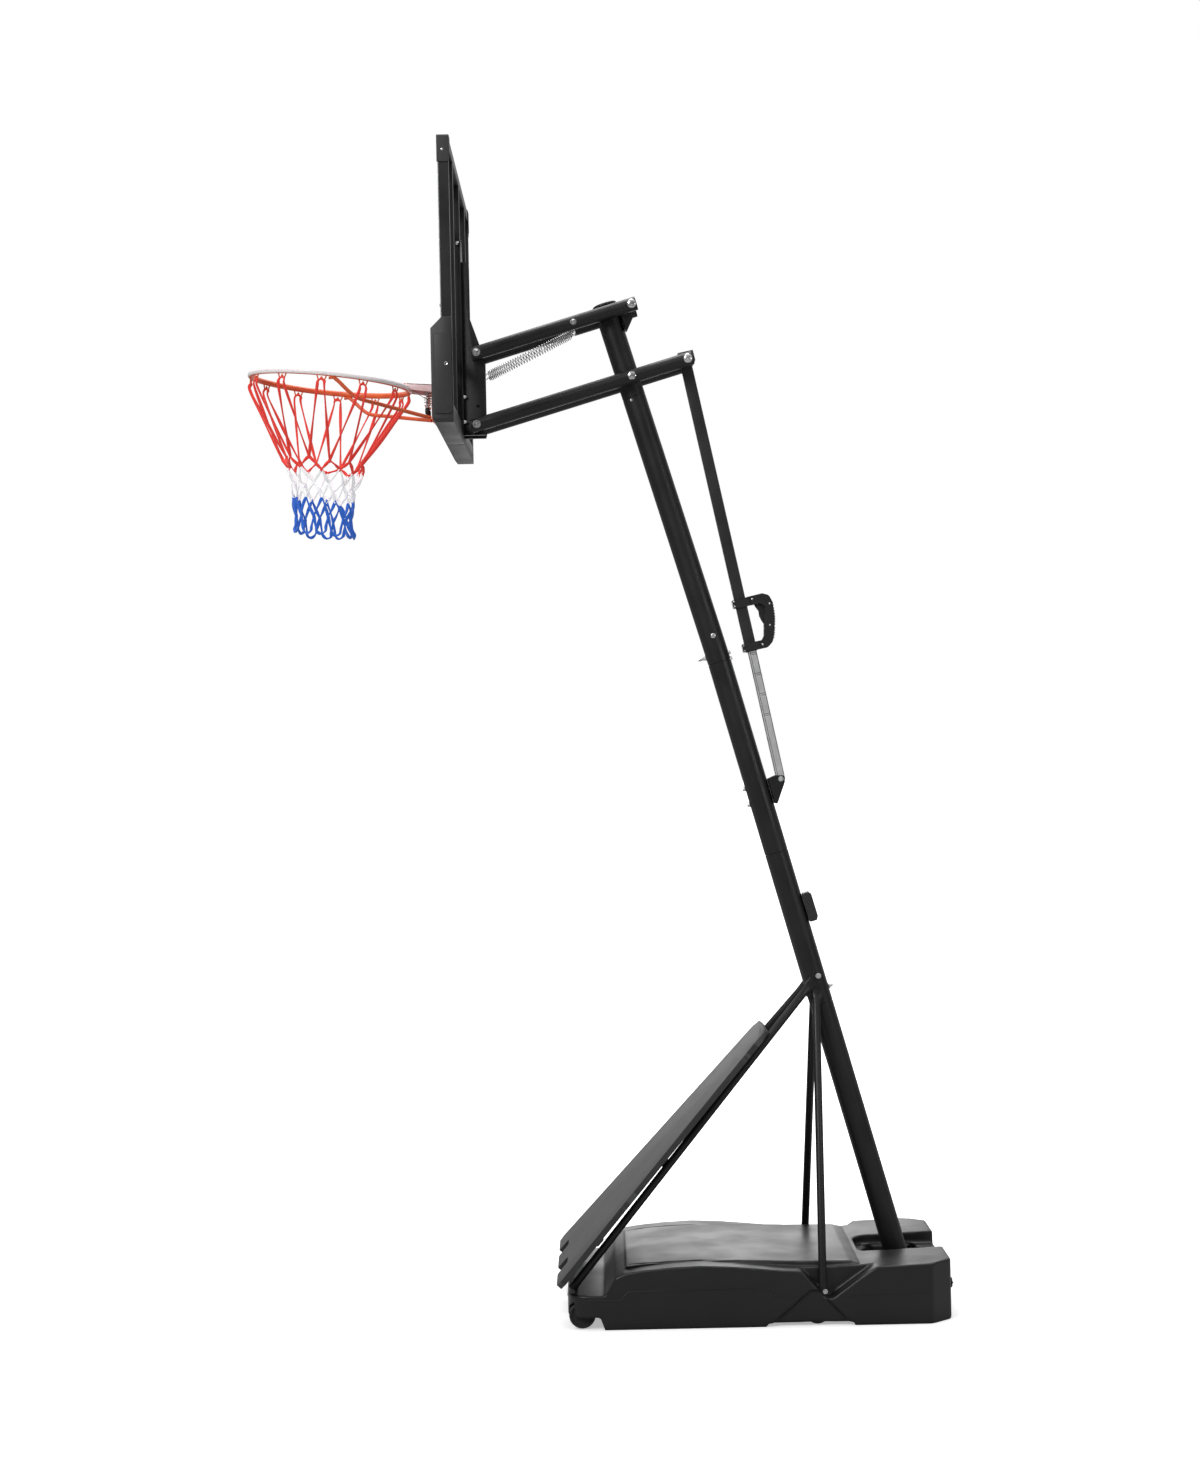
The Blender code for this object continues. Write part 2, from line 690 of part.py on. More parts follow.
def helix(start, end, radius, turns, steps_per_turn, side_y):
    """Points along a coil about the line from start to end, with a straight hook at both ends."""
    axis = end - start
    direction = axis.normalized()
    across = Vector((-direction.z, 0.0, direction.x))
    sideways = Vector((0.0, 1.0, 0.0))
    shift = Vector((0.0, side_y, 0.0))
    hook = 0.12
    count = turns * steps_per_turn
    points = [start + shift, start + shift + axis * (hook - 0.03)]
    for i in range(count + 1):
        angle = 2 * math.pi * i / steps_per_turn
        centre = start + axis * (hook + (1 - 2 * hook) * i / count) + shift
        points.append(centre + across * radius * math.cos(angle) + sideways * radius * math.sin(angle))
    return points + [end + shift - axis * (hook - 0.03), end + shift]


def lift_springs():
    start = Vector((-0.752, 0.0, 2.769))
    end = UPPER_PIVOT + ARM_DIRECTION * 0.172 + Vector((0.0, 0.0, -0.022))
    for name, side in sides():
        points = helix(start, end, 0.0085, 12, 8, side * 0.026)
        wire(f"lift_spring_{name}", points, 0.0013, zinc(), resolution=0)


# ---------------------------------------------------------------- height adjuster


def adjuster_tube():
    mat = black_steel()
    half = ADJUSTER_TUBE_WIDTH
    wall = ADJUSTER_TUBE_WALL
    top, bottom = on_strut(-0.017, 0.0), on_strut(ADJUSTER_TUBE_END, 0.0)
    outer = beam("adjuster_tube", top, bottom, half, half, mat)
    margin = STRUT_DIRECTION * 0.01
    cut(outer, beam("tube_bore", top - margin, bottom + margin, half - 2 * wall, half - 2 * wall, mat))
    cross_hole(outer, LEVER_END)
    pin = on_strut(LATCH_DOWN, 0.010), on_strut(LATCH_DOWN, 0.030)
    cut(outer, rod("latch_hole", pin[0], pin[1], LATCH_RADIUS + 0.0006, mat, 12))


LATCH_DOWN = 0.870
LATCH_RADIUS = 0.004
TRIGGER_PIVOT = (0.752, 0.060)


def adjuster_bar():
    mat = zinc()
    bar = beam("adjuster_bar", on_strut(BAR_START, 0.0), on_strut(STRUT_LENGTH + 0.008, 0.0), BAR_WIDTH, BAR_WIDTH, mat)
    inner = BAR_WIDTH - 0.004
    bore = beam("bar_bore", on_strut(BAR_START - 0.01, 0.0), on_strut(STRUT_LENGTH + 0.02, 0.0), inner, inner, mat)
    cut(bar, bore)
    for index in range(-1, NOTCH_COUNT):
        down = NOTCH_FIRST + NOTCH_PITCH * index
        start, end = on_strut(down - 0.004, 0.0125), on_strut(down + 0.004, 0.0125)
        cut(bar, beam("bar_notch", start, end, 0.006, 0.019, mat))
    corner = [(STRUT_LENGTH - 0.007, -0.014), (STRUT_LENGTH + 0.010, -0.014), (STRUT_LENGTH + 0.010, -0.002)]
    cut(bar, plate("bar_corner", [strut_outline(corner)], "XZ", -0.03, 0.03, mat))


def handle_outline():
    """The D of the handle and its two clamps, in the adjuster's frame."""
    outer = [(0.724, -0.0265), (0.724, 0.066), (0.732, 0.080), (0.748, 0.088), (0.793, 0.0885)]
    outer += [(0.840, 0.079), (0.864, 0.069), (0.878, 0.054), (0.884, 0.034), (0.884, -0.0265)]
    inner = [(0.858, -0.0265), (0.858, 0.040), (0.846, 0.050), (0.800, 0.061), (0.765, 0.061)]
    inner += [(0.750, 0.046), (0.750, -0.0265)]
    return strut_outline(outer + inner)


def handle_shells():
    mat = black_plastic()
    tube_half = ADJUSTER_TUBE_WIDTH / 2 + GAP
    for name, side in sides():
        near, far = side * GAP, side * 0.0165
        shell = plate(f"handle_shell_{name}", [handle_outline()], "XZ", *sorted((near, far)), mat)
        for low, high in ((0.7245, 0.7495), (0.8585, 0.8835)):
            clamp = strut_outline([(low, -0.0260), (low, 0.024), (high, 0.024), (high, -0.0260)])
            reach = side * (tube_half + 0.0055)
            join(shell, plate("clamp", [clamp], "XZ", *sorted((side * 0.009, reach)), mat))
        start, end = on_strut(0.70, 0.0), on_strut(0.91, 0.0)
        cut(shell, beam("tube_seat", start, end, 2 * tube_half, 2 * tube_half, mat))
        room = [(0.748, 0.040), (0.748, 0.078), (0.770, 0.079), (0.822, 0.078), (0.822, 0.040)]
        cut(shell, plate("trigger_room", [strut_outline(room)], "XZ", -0.0072, 0.0072, mat))
        pin = on_strut(LATCH_DOWN, 0.012), on_strut(LATCH_DOWN, 0.056)
        cut(shell, rod("latch_channel", pin[0], pin[1], LATCH_RADIUS + 0.0006, mat, 12))


def trigger():
    points = [(0.757, 0.052), (0.771, 0.045), (0.787, 0.042), (0.798, 0.046), (0.812, 0.052), (0.812, 0.058)]
    points += [(0.790, 0.063), (0.770, 0.066), (0.754, 0.0665), (0.750, 0.062), (0.750, 0.056)]
    lever = plate("trigger", [strut_outline(points)], "XZ", -0.0065, 0.0065, black_plastic())
    pin = material("latch_steel", (0.6, 0.6, 0.62), 0.35, 1.0)
    rod("latch_pin", on_strut(LATCH_DOWN, 0.0145), on_strut(LATCH_DOWN, 0.046), LATCH_RADIUS, pin, 12)
    return lever


# ---------------------------------------------------------------- backboard


def board_bracket():
    mat = black_steel()
    back = FRAME_BACK + GAP
    flange = box("board_bracket", (back, -0.055, 2.600), (back + 0.003, 0.055, 3.178), mat)
    outline = [(back, 2.594), (-0.742, 2.594), (-0.742, 2.823), (-0.786, 2.950), (-0.786, 3.110), (back, 3.110)]
    for name, side in sides():
        inner, outer = sorted((side * 0.037, side * 0.040))
        join(flange, plate("bracket_cheek_" + name, [outline], "XZ", inner, outer, mat))
    cross_hole(flange, LOWER_FRONT)
    cross_hole(flange, UPPER_FRONT)


def pierced_sheet(name, x_low, x_high, inset, mat):
    """The frame's outline from x_low to x_high, drawn in by inset, with its windows grown by inset."""
    half, low, high = BOARD_HALF_WIDTH, BOARD_BOTTOM, BOARD_TOP
    sheet = box(name, (x_low, inset - half, low + inset), (x_high, half - inset, high - inset), mat)
    half_rail = RAIL_WIDTH / 2 - inset
    edges = [RAIL_WIDTH / 2 - half, *MULLIONS, half - RAIL_WIDTH / 2]
    for a, b in zip(edges[:-1], edges[1:]):
        corner = (-1.0, a + half_rail, low + RAIL_WIDTH - inset)
        cut(sheet, box("window", corner, (1.0, b - half_rail, high - RAIL_WIDTH + inset), mat))
    return sheet


def board():
    mat = black_steel()
    wall = 0.002
    frame = pierced_sheet("board_frame", FRAME_FRONT, FRAME_BACK, 0.0, mat)
    cut(frame, pierced_sheet("frame_hollow", FRAME_FRONT + wall, 0.1, wall, mat))
    clear = material("clear_polycarbonate", (0.80, 0.84, 0.86), 0.05, 0.0)
    front = FRAME_FRONT - GAP
    box("board_panel", (front - 0.003, -0.552, 2.601), (front, 0.552, 3.366), clear)


def corner_caps():
    """Caps over the two upper corners of the frame: cheek, top and a little of the front."""
    for name, side in sides():
        inner, outer = sorted((side * (BOARD_HALF_WIDTH + GAP), side * (BOARD_HALF_WIDTH + 0.004)))
        cap = box(f"corner_cap_{name}", (-0.842, inner, 3.296), (-0.8085, outer, 3.373), black_plastic())
        inner, outer = sorted((side * (BOARD_HALF_WIDTH - 0.065), side * (BOARD_HALF_WIDTH + 0.002)))
        lid = box("corner_lid", (-0.842, inner, BOARD_TOP + GAP), (-0.8085, outer, 3.373), black_plastic())
        join(cap, lid)


def edge_pads():
    mat = black_plastic()
    front, panel_front, back = -0.868, FRAME_FRONT - 0.0037, FRAME_BACK
    top = 2.864
    for name, side in sides():
        low, high = sorted((side * 0.0005, side * 0.575))
        pad = box(f"edge_pad_{name}", (front, low, 2.572), (back, high, BOARD_BOTTOM - GAP), mat)
        low, high = sorted((side * 0.068, side * 0.575))
        join(pad, box("pad_front", (front, low, 2.572), (panel_front, high, 2.640), mat))
        low, high = sorted((side * (BOARD_HALF_WIDTH + GAP), side * 0.575))
        join(pad, box("pad_side", (front, low, 2.572), (back, high, top), mat))
        low, high = sorted((side * 0.515, side * 0.575))
        join(pad, box("pad_cheek", (front, low, 2.572), (panel_front, high, top), mat))
        slope = [(front - 0.01, top - 0.030 - 0.01), (front - 0.01, top + 0.01), (front + 0.040, top + 0.01)]
        cut(pad, plate("pad_chamfer", [slope], "XZ", *sorted((side * 0.4, side * 0.6)), mat))


# ---------------------------------------------------------------- rim and net


def rim_mount():
    """A channel on the panel's face that carries the rim's pivot pin between two lugs."""
    mat = black_steel()
    back = FRAME_FRONT - 0.0037 - GAP
    mount = box("rim_mount", (-0.8720, -0.065, 2.616), (back, 0.065, 2.765), mat)
    cut(mount, box("mount_hollow", (-0.8690, -0.062, 2.619), (0.0, 0.062, 2.762), mat))
    for name, side in sides():
        inner, outer = sorted((side * 0.046, side * 0.052))
        lug = [(-0.870, 2.625), (-0.888, 2.634), (-0.898, 2.644), (-0.888, 2.654), (-0.870, 2.665)]
        join(mount, plate("lug_" + name, [lug], "XZ", inner, outer, mat))
    cross_hole(mount, RIM_PIVOT, AXLE_RADIUS + GAP, 0.07)
    cross_bolt("rim_pivot_pin", RIM_PIVOT, 0.0525, zinc(), shank=AXLE_RADIUS, head=0.008)


def ring_torus(name, rod_radius, mat, around=36):
    """The ring's rod, in the tilted plane of the rim."""
    bpy.ops.mesh.primitive_torus_add(
        major_radius=RING_RADIUS,
        minor_radius=rod_radius,
        major_segments=around,
        minor_segments=8,
        location=RIM_CENTRE,
        rotation=(0.0, RIM_TILT, 0.0),
    )
    ring = bpy.context.object
    ring.name = name
    for collection in list(ring.users_collection):
        collection.objects.unlink(ring)
    return link(ring, mat)


def rim():
    mat = orange_steel()
    ring_torus("rim_ring", RING_ROD_RADIUS, mat)
    deck = box("rim_plate", (-0.985, -0.055, 2.724), (-0.8735, 0.055, 2.7490), mat)
    cut(deck, box("deck_hollow", (-1.02, -0.052, 2.70), (-0.80, 0.052, 2.7460), mat))
    join(deck, box("hinge_leaf", (-0.9010, -0.0455, 2.640), (-0.8960, 0.0455, 2.7475), mat))
    knuckle = Vector((0.0, 0.0455, 0.0))
    join(deck, rod("rim_knuckle", RIM_PIVOT - knuckle, RIM_PIVOT + knuckle, 0.009, mat, 14))
    cut(deck, ring_torus("ring_clearance", RING_ROD_RADIUS + 0.0004, mat))
    cross_hole(deck, RIM_PIVOT, AXLE_RADIUS + GAP)
    for name, side in sides():
        start = on_ring(side * 99, drop=RING_ROD_RADIUS + 0.0065)
        bend = Vector((-1.105, side * 0.200, 2.690))
        end = Vector((-0.9075, side * 0.034, 2.6520))
        wire(f"rim_brace_{name}", [start, bend, end], 0.0058, mat, resolution=1)
        breakaway_spring(name, side)


def breakaway_spring(name, side):
    """A short coil on the spring bolt between the deck and the hinge leaf."""
    low, high = 2.690, 2.742
    turns, steps = 5, 8
    points = []
    for i in range(turns * steps + 1):
        angle = 2 * math.pi * i / steps
        height = low + (high - low) * i / (turns * steps)
        points.append(Vector((-0.922 + 0.0085 * math.cos(angle), side * 0.030 + 0.0085 * math.sin(angle), height)))
    wire(f"breakaway_spring_{name}", points, 0.0015, zinc(), resolution=0)


def net():
    """The net as one thin sleeve, open at both ends, which hangs square to the tilted ring."""
    cord = material("net_cord", (0.75, 0.10, 0.08), 0.8, 0.0)
    wall = 0.004
    outer = [(0.206, 2.716), (0.188, 2.660), (0.152, 2.590), (0.120, 2.520), (0.098, 2.460), (0.094, 2.302)]
    inner = [(radius - wall, height) for radius, height in reversed(outer)]
    profile = [(radius, height - RIM_CENTRE.z) for radius, height in outer + inner]
    sleeve = turned("net", profile, cord, sides=24, closed=True)
    sleeve.location = RIM_CENTRE
    sleeve.rotation_euler = (0.0, RIM_TILT, 0.0)


# ---------------------------------------------------------------- joints


def both(name):
    return [f"{name}_left", f"{name}_right"]


def joint_groups():
    """Every joint axis: its name, a point on it, the axis it lies under, and the parts that turn with it."""
    trigger_axis = on_strut(*TRIGGER_PIVOT)
    latch = on_strut(LATCH_DOWN, 0.0145)
    head = ["board_bracket", "board_frame", "board_panel", "rim_mount", "rim_pivot_pin", "upper_front_bolt"]
    head += both("edge_pad") + both("corner_cap") + both("lift_spring")
    rim_parts = ["rim_ring", "rim_plate", "net"] + both("rim_brace") + both("breakaway_spring")
    return (
        ("upper_arms_axis", UPPER_PIVOT, None, both("upper_arm")),
        ("lower_arms_axis", LOWER_PIVOT, None, both("lower_arm") + ["lower_front_bolt", "lever_bolt"]),
        ("board_axis", UPPER_FRONT, "upper_arms_axis", head),
        ("rim_axis", RIM_PIVOT, "board_axis", rim_parts),
        ("adjuster_axis", LEVER_END, "lower_arms_axis", ["adjuster_tube"] + both("handle_shell")),
        ("bar_axis", ADJUSTER_FOOT, "adjuster_axis", ["adjuster_bar"]),
        ("trigger_axis", trigger_axis, "adjuster_axis", ["trigger"]),
        ("latch_axis", latch, "adjuster_axis", ["latch_pin"]),
    )


def add_joint_axes():
    """An empty on every joint's axis, with the parts it carries parented to it where they stand."""
    empties = {}
    for name, place, above, parts in joint_groups():
        empty = bpy.data.objects.new(name, None)
        COLLECTION.objects.link(empty)
        empty.empty_display_size = 0.05
        empty.matrix_world = Matrix.Translation(place)
        empties[name] = empty
        bpy.context.view_layer.update()
        children = [bpy.data.objects[part] for part in parts]
        if above:
            hang(empty, empties[above])
        bpy.context.view_layer.update()
        for child in children:
            hang(child, empty)


def hang(child, parent):
    child.parent = parent
    child.matrix_parent_inverse = parent.matrix_world.inverted()


def smooth_round_parts():
    """Smooth shading with sharp edges wherever two faces meet at more than a third of a right angle."""
    for obj in COLLECTION.objects:
        if obj.type == "MESH":
            obj.data.shade_smooth()
            obj.data.set_sharp_from_angle(angle=math.radians(30))


# ---------------------------------------------------------------- the whole hoop


def build():
    clear_scene()
    base_tank()
    ballast_water()
    fill_cap()
    wheels_and_axles()
    pole()
    pole_fittings()
    struts()
    guard_panel()
    arms()
    lift_springs()
    adjuster_tube()
    adjuster_bar()
    handle_shells()
    trigger()
    board_bracket()
    board()
    corner_caps()
    edge_pads()
    rim_mount()
    rim()
    net()
    add_joint_axes()
    smooth_round_parts()


build()
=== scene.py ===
"""Looks of the portable basketball hoop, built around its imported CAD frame.

Metres, +Z up, origin on the floor under the middle of the base. The players stand on the -X side.
"left" is the -Y side, which the camera sees.
"""

import json
import math
import random

import bmesh
import bpy
from mathutils import Matrix, Vector

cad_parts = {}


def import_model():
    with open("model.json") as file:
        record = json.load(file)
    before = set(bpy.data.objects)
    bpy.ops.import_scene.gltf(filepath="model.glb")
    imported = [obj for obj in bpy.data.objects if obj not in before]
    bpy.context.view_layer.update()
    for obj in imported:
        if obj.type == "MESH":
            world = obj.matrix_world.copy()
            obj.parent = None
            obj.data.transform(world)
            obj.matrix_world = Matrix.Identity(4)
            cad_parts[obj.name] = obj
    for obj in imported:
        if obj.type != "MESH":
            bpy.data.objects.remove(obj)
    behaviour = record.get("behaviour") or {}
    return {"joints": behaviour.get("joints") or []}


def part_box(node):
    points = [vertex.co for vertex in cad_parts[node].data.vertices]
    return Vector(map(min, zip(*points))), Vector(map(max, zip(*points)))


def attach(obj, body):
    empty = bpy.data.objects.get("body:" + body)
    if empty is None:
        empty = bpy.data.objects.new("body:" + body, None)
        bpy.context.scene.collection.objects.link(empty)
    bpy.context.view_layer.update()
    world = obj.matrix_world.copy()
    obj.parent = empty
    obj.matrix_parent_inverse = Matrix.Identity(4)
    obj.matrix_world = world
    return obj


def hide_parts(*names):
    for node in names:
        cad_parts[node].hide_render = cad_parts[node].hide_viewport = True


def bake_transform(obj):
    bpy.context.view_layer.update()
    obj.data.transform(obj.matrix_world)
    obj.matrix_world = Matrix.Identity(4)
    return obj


JOINTS = {joint["name"]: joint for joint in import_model()["joints"]}
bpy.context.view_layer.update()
SIDES = (("left", -1.0), ("right", 1.0))
X, Y, Z = Vector((1, 0, 0)), Vector((0, 1, 0)), Vector((0, 0, 1))


def pivot(joint):
    return Vector(JOINTS[joint]["pos_m"])


# ---------------------------------------------------------------- places

LOWER_PIVOT = pivot("lower_arms_swing")
UPPER_PIVOT = pivot("board_lift")
UPPER_FRONT = pivot("board_level")
LEVER_END = pivot("adjuster_swing")
RIM_PIVOT = pivot("rim_breakaway")
LOWER_FRONT = UPPER_FRONT + LOWER_PIVOT - UPPER_PIVOT
ARM_DIRECTION = (LOWER_FRONT - LOWER_PIVOT).normalized()
ARM_RADIUS = 0.0205
ARM_OFFSET = 0.063
BOLT_REACH = ARM_OFFSET + ARM_RADIUS + 0.0003  # from the middle to under a bolt's head
SPRING_ANCHOR = UPPER_PIVOT + ARM_DIRECTION * 0.180
ANCHOR_DROP, ANCHOR_SIDE = 0.022, 0.028

POLE_RADIUS = 0.035
POLE_BEND = 1.922  # height of the joint whose play lets the top two sections lean more
POLE_BEND_X = -0.0650
POLE_FOOT = 0.112
SEAMS = (0.886, 1.337, 1.908, 2.703)
POLE_TOP = 2.974
POLE_SKIN = POLE_RADIUS + 0.0003  # where the things welded or clamped to the pole begin

STRUT_DOWN = Vector(JOINTS["adjuster_telescope"]["axis"]).normalized()
STRUT_BACK = Vector((-STRUT_DOWN.z, 0.0, STRUT_DOWN.x))
STRUT_FOOT = LEVER_END + STRUT_DOWN * 1.2740

RIM_TILT = math.radians(6.3)
RIM_CENTRE = Vector((-1.205, 0.0, 2.7627))
RIM_FORWARD = Vector((-math.cos(RIM_TILT), 0.0, math.sin(RIM_TILT)))
RIM_UP = Vector((math.sin(RIM_TILT), 0.0, math.cos(RIM_TILT)))
RING_RADIUS = 0.2375
ROD_RADIUS = 0.0085

PANEL_LOW = Vector((-0.579, 0.0, 0.127))
PANEL_HIGH = Vector((0.043, 0.0, 0.823))


def pole_axes(height):
    """The directions up the pole and out behind it at this height."""
    lean = math.radians(16.72 if height > POLE_BEND else 15.45)
    return Vector((-math.sin(lean), 0.0, math.cos(lean))), Vector((math.cos(lean), 0.0, math.sin(lean)))


def pole_at(height, back=0.0, y=0.0):
    """The point of the pole's axis at this height, moved out behind it and sideways."""
    up, behind = pole_axes(height)
    return Vector((POLE_BEND_X, y, POLE_BEND)) + up * ((height - POLE_BEND) / up.z) + behind * back


def on_strut(down, back, y=0.0):
    return LEVER_END + STRUT_DOWN * down + STRUT_BACK * back + Y * y


def on_ring(angle, radius=RING_RADIUS, drop=0.0):
    """A point round the ring: 0 degrees is the side the camera sees, 90 is towards the board."""
    a = math.radians(angle)
    out = -RIM_FORWARD * math.sin(a) - Y * math.cos(a)
    return RIM_CENTRE + out * radius - RIM_UP * drop


# ---------------------------------------------------------------- materials


class Nodes:
    """A material's node tree with short calls for what the materials here need."""

    def __init__(self, name, colour, roughness, metallic=0.0, specular=0.5):
        self.material = bpy.data.materials.new(name)
        self.material.use_nodes = True
        self.tree = self.material.node_tree
        self.shader = self.tree.nodes["Principled BSDF"]
        self.coords = self.tree.nodes.new("ShaderNodeTexCoord").outputs["Object"]
        self.set("Base Color", (*colour, 1.0))
        self.set("Roughness", roughness)
        self.set("Metallic", metallic)
        self.set("Specular IOR Level", specular)
        self.material.diffuse_color = (*colour, 1.0)

    def set(self, name, value):
        self.shader.inputs[name].default_value = value

    def link(self, source, target):
        self.tree.links.new(source, target)

    def to_shader(self, source, name):
        self.link(source, self.shader.inputs[name])

    def node(self, kind, **values):
        made = self.tree.nodes.new("ShaderNode" + kind)
        for key, value in values.items():
            setattr(made, key, value)
        return made

    def math(self, operation, a, b=0.5, clamp=False):
        made = self.node("Math", operation=operation, use_clamp=clamp)
        for socket, value in zip(made.inputs, (a, b)):
            if isinstance(value, (int, float)):
                socket.default_value = value
            else:
                self.link(value, socket)
        return made.outputs[0]

    def vector(self, operation, *values):
        """One step of vector arithmetic on sockets or fixed vectors."""
        made = self.node("VectorMath", operation=operation)
        for socket, value in zip(made.inputs, values):
            if isinstance(value, (tuple, Vector)):
                socket.default_value = value
            else:
                self.link(value, socket)
        return made.outputs["Value" if operation in ("DOT_PRODUCT", "LENGTH") else "Vector"]

    def normal(self):
        return self.node("TexCoord").outputs["Normal"]

    def ramp(self, value, low, high, out_low=0.0, out_high=1.0):
        made = self.node("MapRange", interpolation_type="SMOOTHSTEP")
        self.link(value, made.inputs["Value"])
        for key, number in zip(("From Min", "From Max", "To Min", "To Max"), (low, high, out_low, out_high)):
            made.inputs[key].default_value = number
        return made.outputs["Result"]

    def noise(self, scale, detail=3.0, stretch=(1, 1, 1)):
        mapping = self.node("Mapping")
        mapping.inputs["Scale"].default_value = stretch
        self.link(self.coords, mapping.inputs["Vector"])
        made = self.node("TexNoise")
        made.inputs["Scale"].default_value = scale
        made.inputs["Detail"].default_value = detail
        self.link(mapping.outputs["Vector"], made.inputs["Vector"])
        return made.outputs["Fac"]

    def mix(self, factor, a, b):
        made = self.node("Mix", data_type="RGBA")
        self.link(factor, made.inputs["Factor"])
        for socket, value in ((made.inputs[6], a), (made.inputs[7], b)):
            if isinstance(value, tuple):
                socket.default_value = (*value, 1.0)
            else:
                self.link(value, socket)
        return made.outputs[2]

    def bump(self, height, strength, distance):
        made = self.node("Bump")
        made.inputs["Strength"].default_value = strength
        made.inputs["Distance"].default_value = distance
        self.link(height, made.inputs["Height"])
        if self.shader.inputs["Normal"].is_linked:
            self.link(self.shader.inputs["Normal"].links[0].from_socket, made.inputs["Normal"])
        self.to_shader(made.outputs["Normal"], "Normal")

    def vary(self, scale, dark, light, rough_low, rough_high, stretch=(1, 1, 1)):
        """Uneven colour and roughness from one soft noise."""
        cloud = self.noise(scale, 4.0, stretch)
        self.to_shader(self.mix(self.ramp(cloud, 0.3, 0.7), dark, light), "Base Color")
        self.to_shader(self.ramp(cloud, 0.25, 0.75, rough_low, rough_high), "Roughness")
        return cloud


def powder_coat(name, dark, light, specular=0.5):
    """Paint with a fine orange-peel surface and a few dusty, slightly rougher areas."""
    made = Nodes(name, dark, 0.42, 0.0, specular)
    made.vary(9.0, dark, light, 0.36, 0.50)
    made.bump(made.noise(900.0, 2.0), 0.12, 0.0004)
    made.bump(made.noise(140.0, 2.0), 0.05, 0.0010)
    return made.material


def moulded(name, dark, light, roughness, grain=700.0, depth=0.0005, specular=0.5):
    """Moulded plastic with a leathery grain and faint flow marks."""
    made = Nodes(name, dark, roughness, 0.0, specular)
    made.vary(6.0, dark, light, roughness - 0.05, roughness + 0.08)
    made.bump(made.noise(grain, 3.0), 0.25, depth)
    made.bump(made.noise(22.0, 2.0), 0.06, 0.002)
    return made.material


def metal(name, colour, low, high, scale=60.0):
    made = Nodes(name, colour, low, 1.0)
    dull_and_shade = tuple(c * 0.82 for c in colour)
    made.vary(scale, dull_and_shade, colour, low, high)
    made.bump(made.noise(1500.0, 2.0), 0.08, 0.0002)
    return made.material


def ring_paint():
    """Orange powder coat with a painted highlight: pale, spotted colour on the outward side of the ring,
    stronger where it also faces up.
    """
    # pale is the colour of the painted highlight, not of the paint.
    red, pale = (0.74, 0.10, 0.030), (0.95, 0.90, 0.90)
    made = Nodes("ring_paint", red, 0.35)
    # Mask of the painted highlight: how far the surface faces out from the ring's middle, plus a little for
    # facing up.
    flat = made.vector("MULTIPLY", made.vector("ADD", made.coords, -RIM_CENTRE), (1.0, 1.0, 0.0))
    outwards = made.vector("DOT_PRODUCT", made.vector("NORMALIZE", flat), made.normal())
    split = made.node("SeparateXYZ")
    made.link(made.normal(), split.inputs[0])
    raised = made.math("ADD", outwards, made.math("MULTIPLY", split.outputs["Z"], 0.22))
    outward = made.ramp(raised, 0.44, 0.54)
    specks = made.node("TexVoronoi")
    specks.inputs["Scale"].default_value = 170.0
    made.link(made.coords, specks.inputs["Vector"])
    spotted_highlight = made.mix(made.ramp(specks.outputs["Distance"], 0.10, 0.32), (0.72, 0.58, 0.58), pale)
    worn = made.mix(made.ramp(made.noise(14.0), 0.35, 0.65), red, (0.86, 0.16, 0.045))
    # The painted highlight laid over the randomly varied red.
    made.to_shader(made.mix(outward, worn, spotted_highlight), "Base Color")
    made.bump(made.noise(800.0, 2.0), 0.12, 0.0004)
    return made.material


def cord(name, dark, light):
    """Braided cord: short diagonal plaits and loose fibres, with a faint painted glow."""
    made = Nodes(name, light, 0.85, 0.0, 0.2)
    plait = made.node("TexVoronoi")
    plait.inputs["Scale"].default_value = 420.0
    made.link(made.coords, plait.inputs["Vector"])
    made.to_shader(made.mix(made.ramp(plait.outputs["Distance"], 0.15, 0.60), light, dark), "Base Color")
    made.bump(plait.outputs["Distance"], 0.6, 0.0008)
    made.set("Sheen Weight", 0.25)
    # Painted glow: emission in the cord's lighter colour brightens it.
    made.set("Emission Color", (*light, 1.0))
    made.set("Emission Strength", 0.22)  # painted glow: the cord emits light of its own lighter colour
    return made.material


def pixel_panel():
    """Dark moulded sheet with a two-scale pattern of lighter and darker squares on its face."""
    made = Nodes("guard_panel_plastic", (0.045, 0.045, 0.047), 0.5)
    shades = []
    for size, low, high in ((0.034, 0.80, 0.82), (0.017, 0.84, 0.86)):
        snap = made.vector("SNAP", made.coords, (size, size, 10.0))
        white = made.node("TexWhiteNoise")
        made.link(snap, white.inputs["Vector"])
        shades.append(made.ramp(white.outputs["Value"], low, high))
    patches = made.ramp(made.noise(5.0, 2.0), 0.44, 0.56)
    light = made.math("MULTIPLY", made.math("MAXIMUM", *shades), patches)
    ground = made.mix(made.ramp(made.noise(7.0, 3.0), 0.3, 0.7), (0.022, 0.022, 0.023), (0.031, 0.031, 0.033))
    made.to_shader(made.mix(light, ground, (0.060, 0.060, 0.063)), "Base Color")
    made.to_shader(made.ramp(light, 0.0, 1.0, 0.52, 0.62), "Roughness")
    made.bump(made.noise(650.0, 3.0), 0.25, 0.0005)
    return made.material


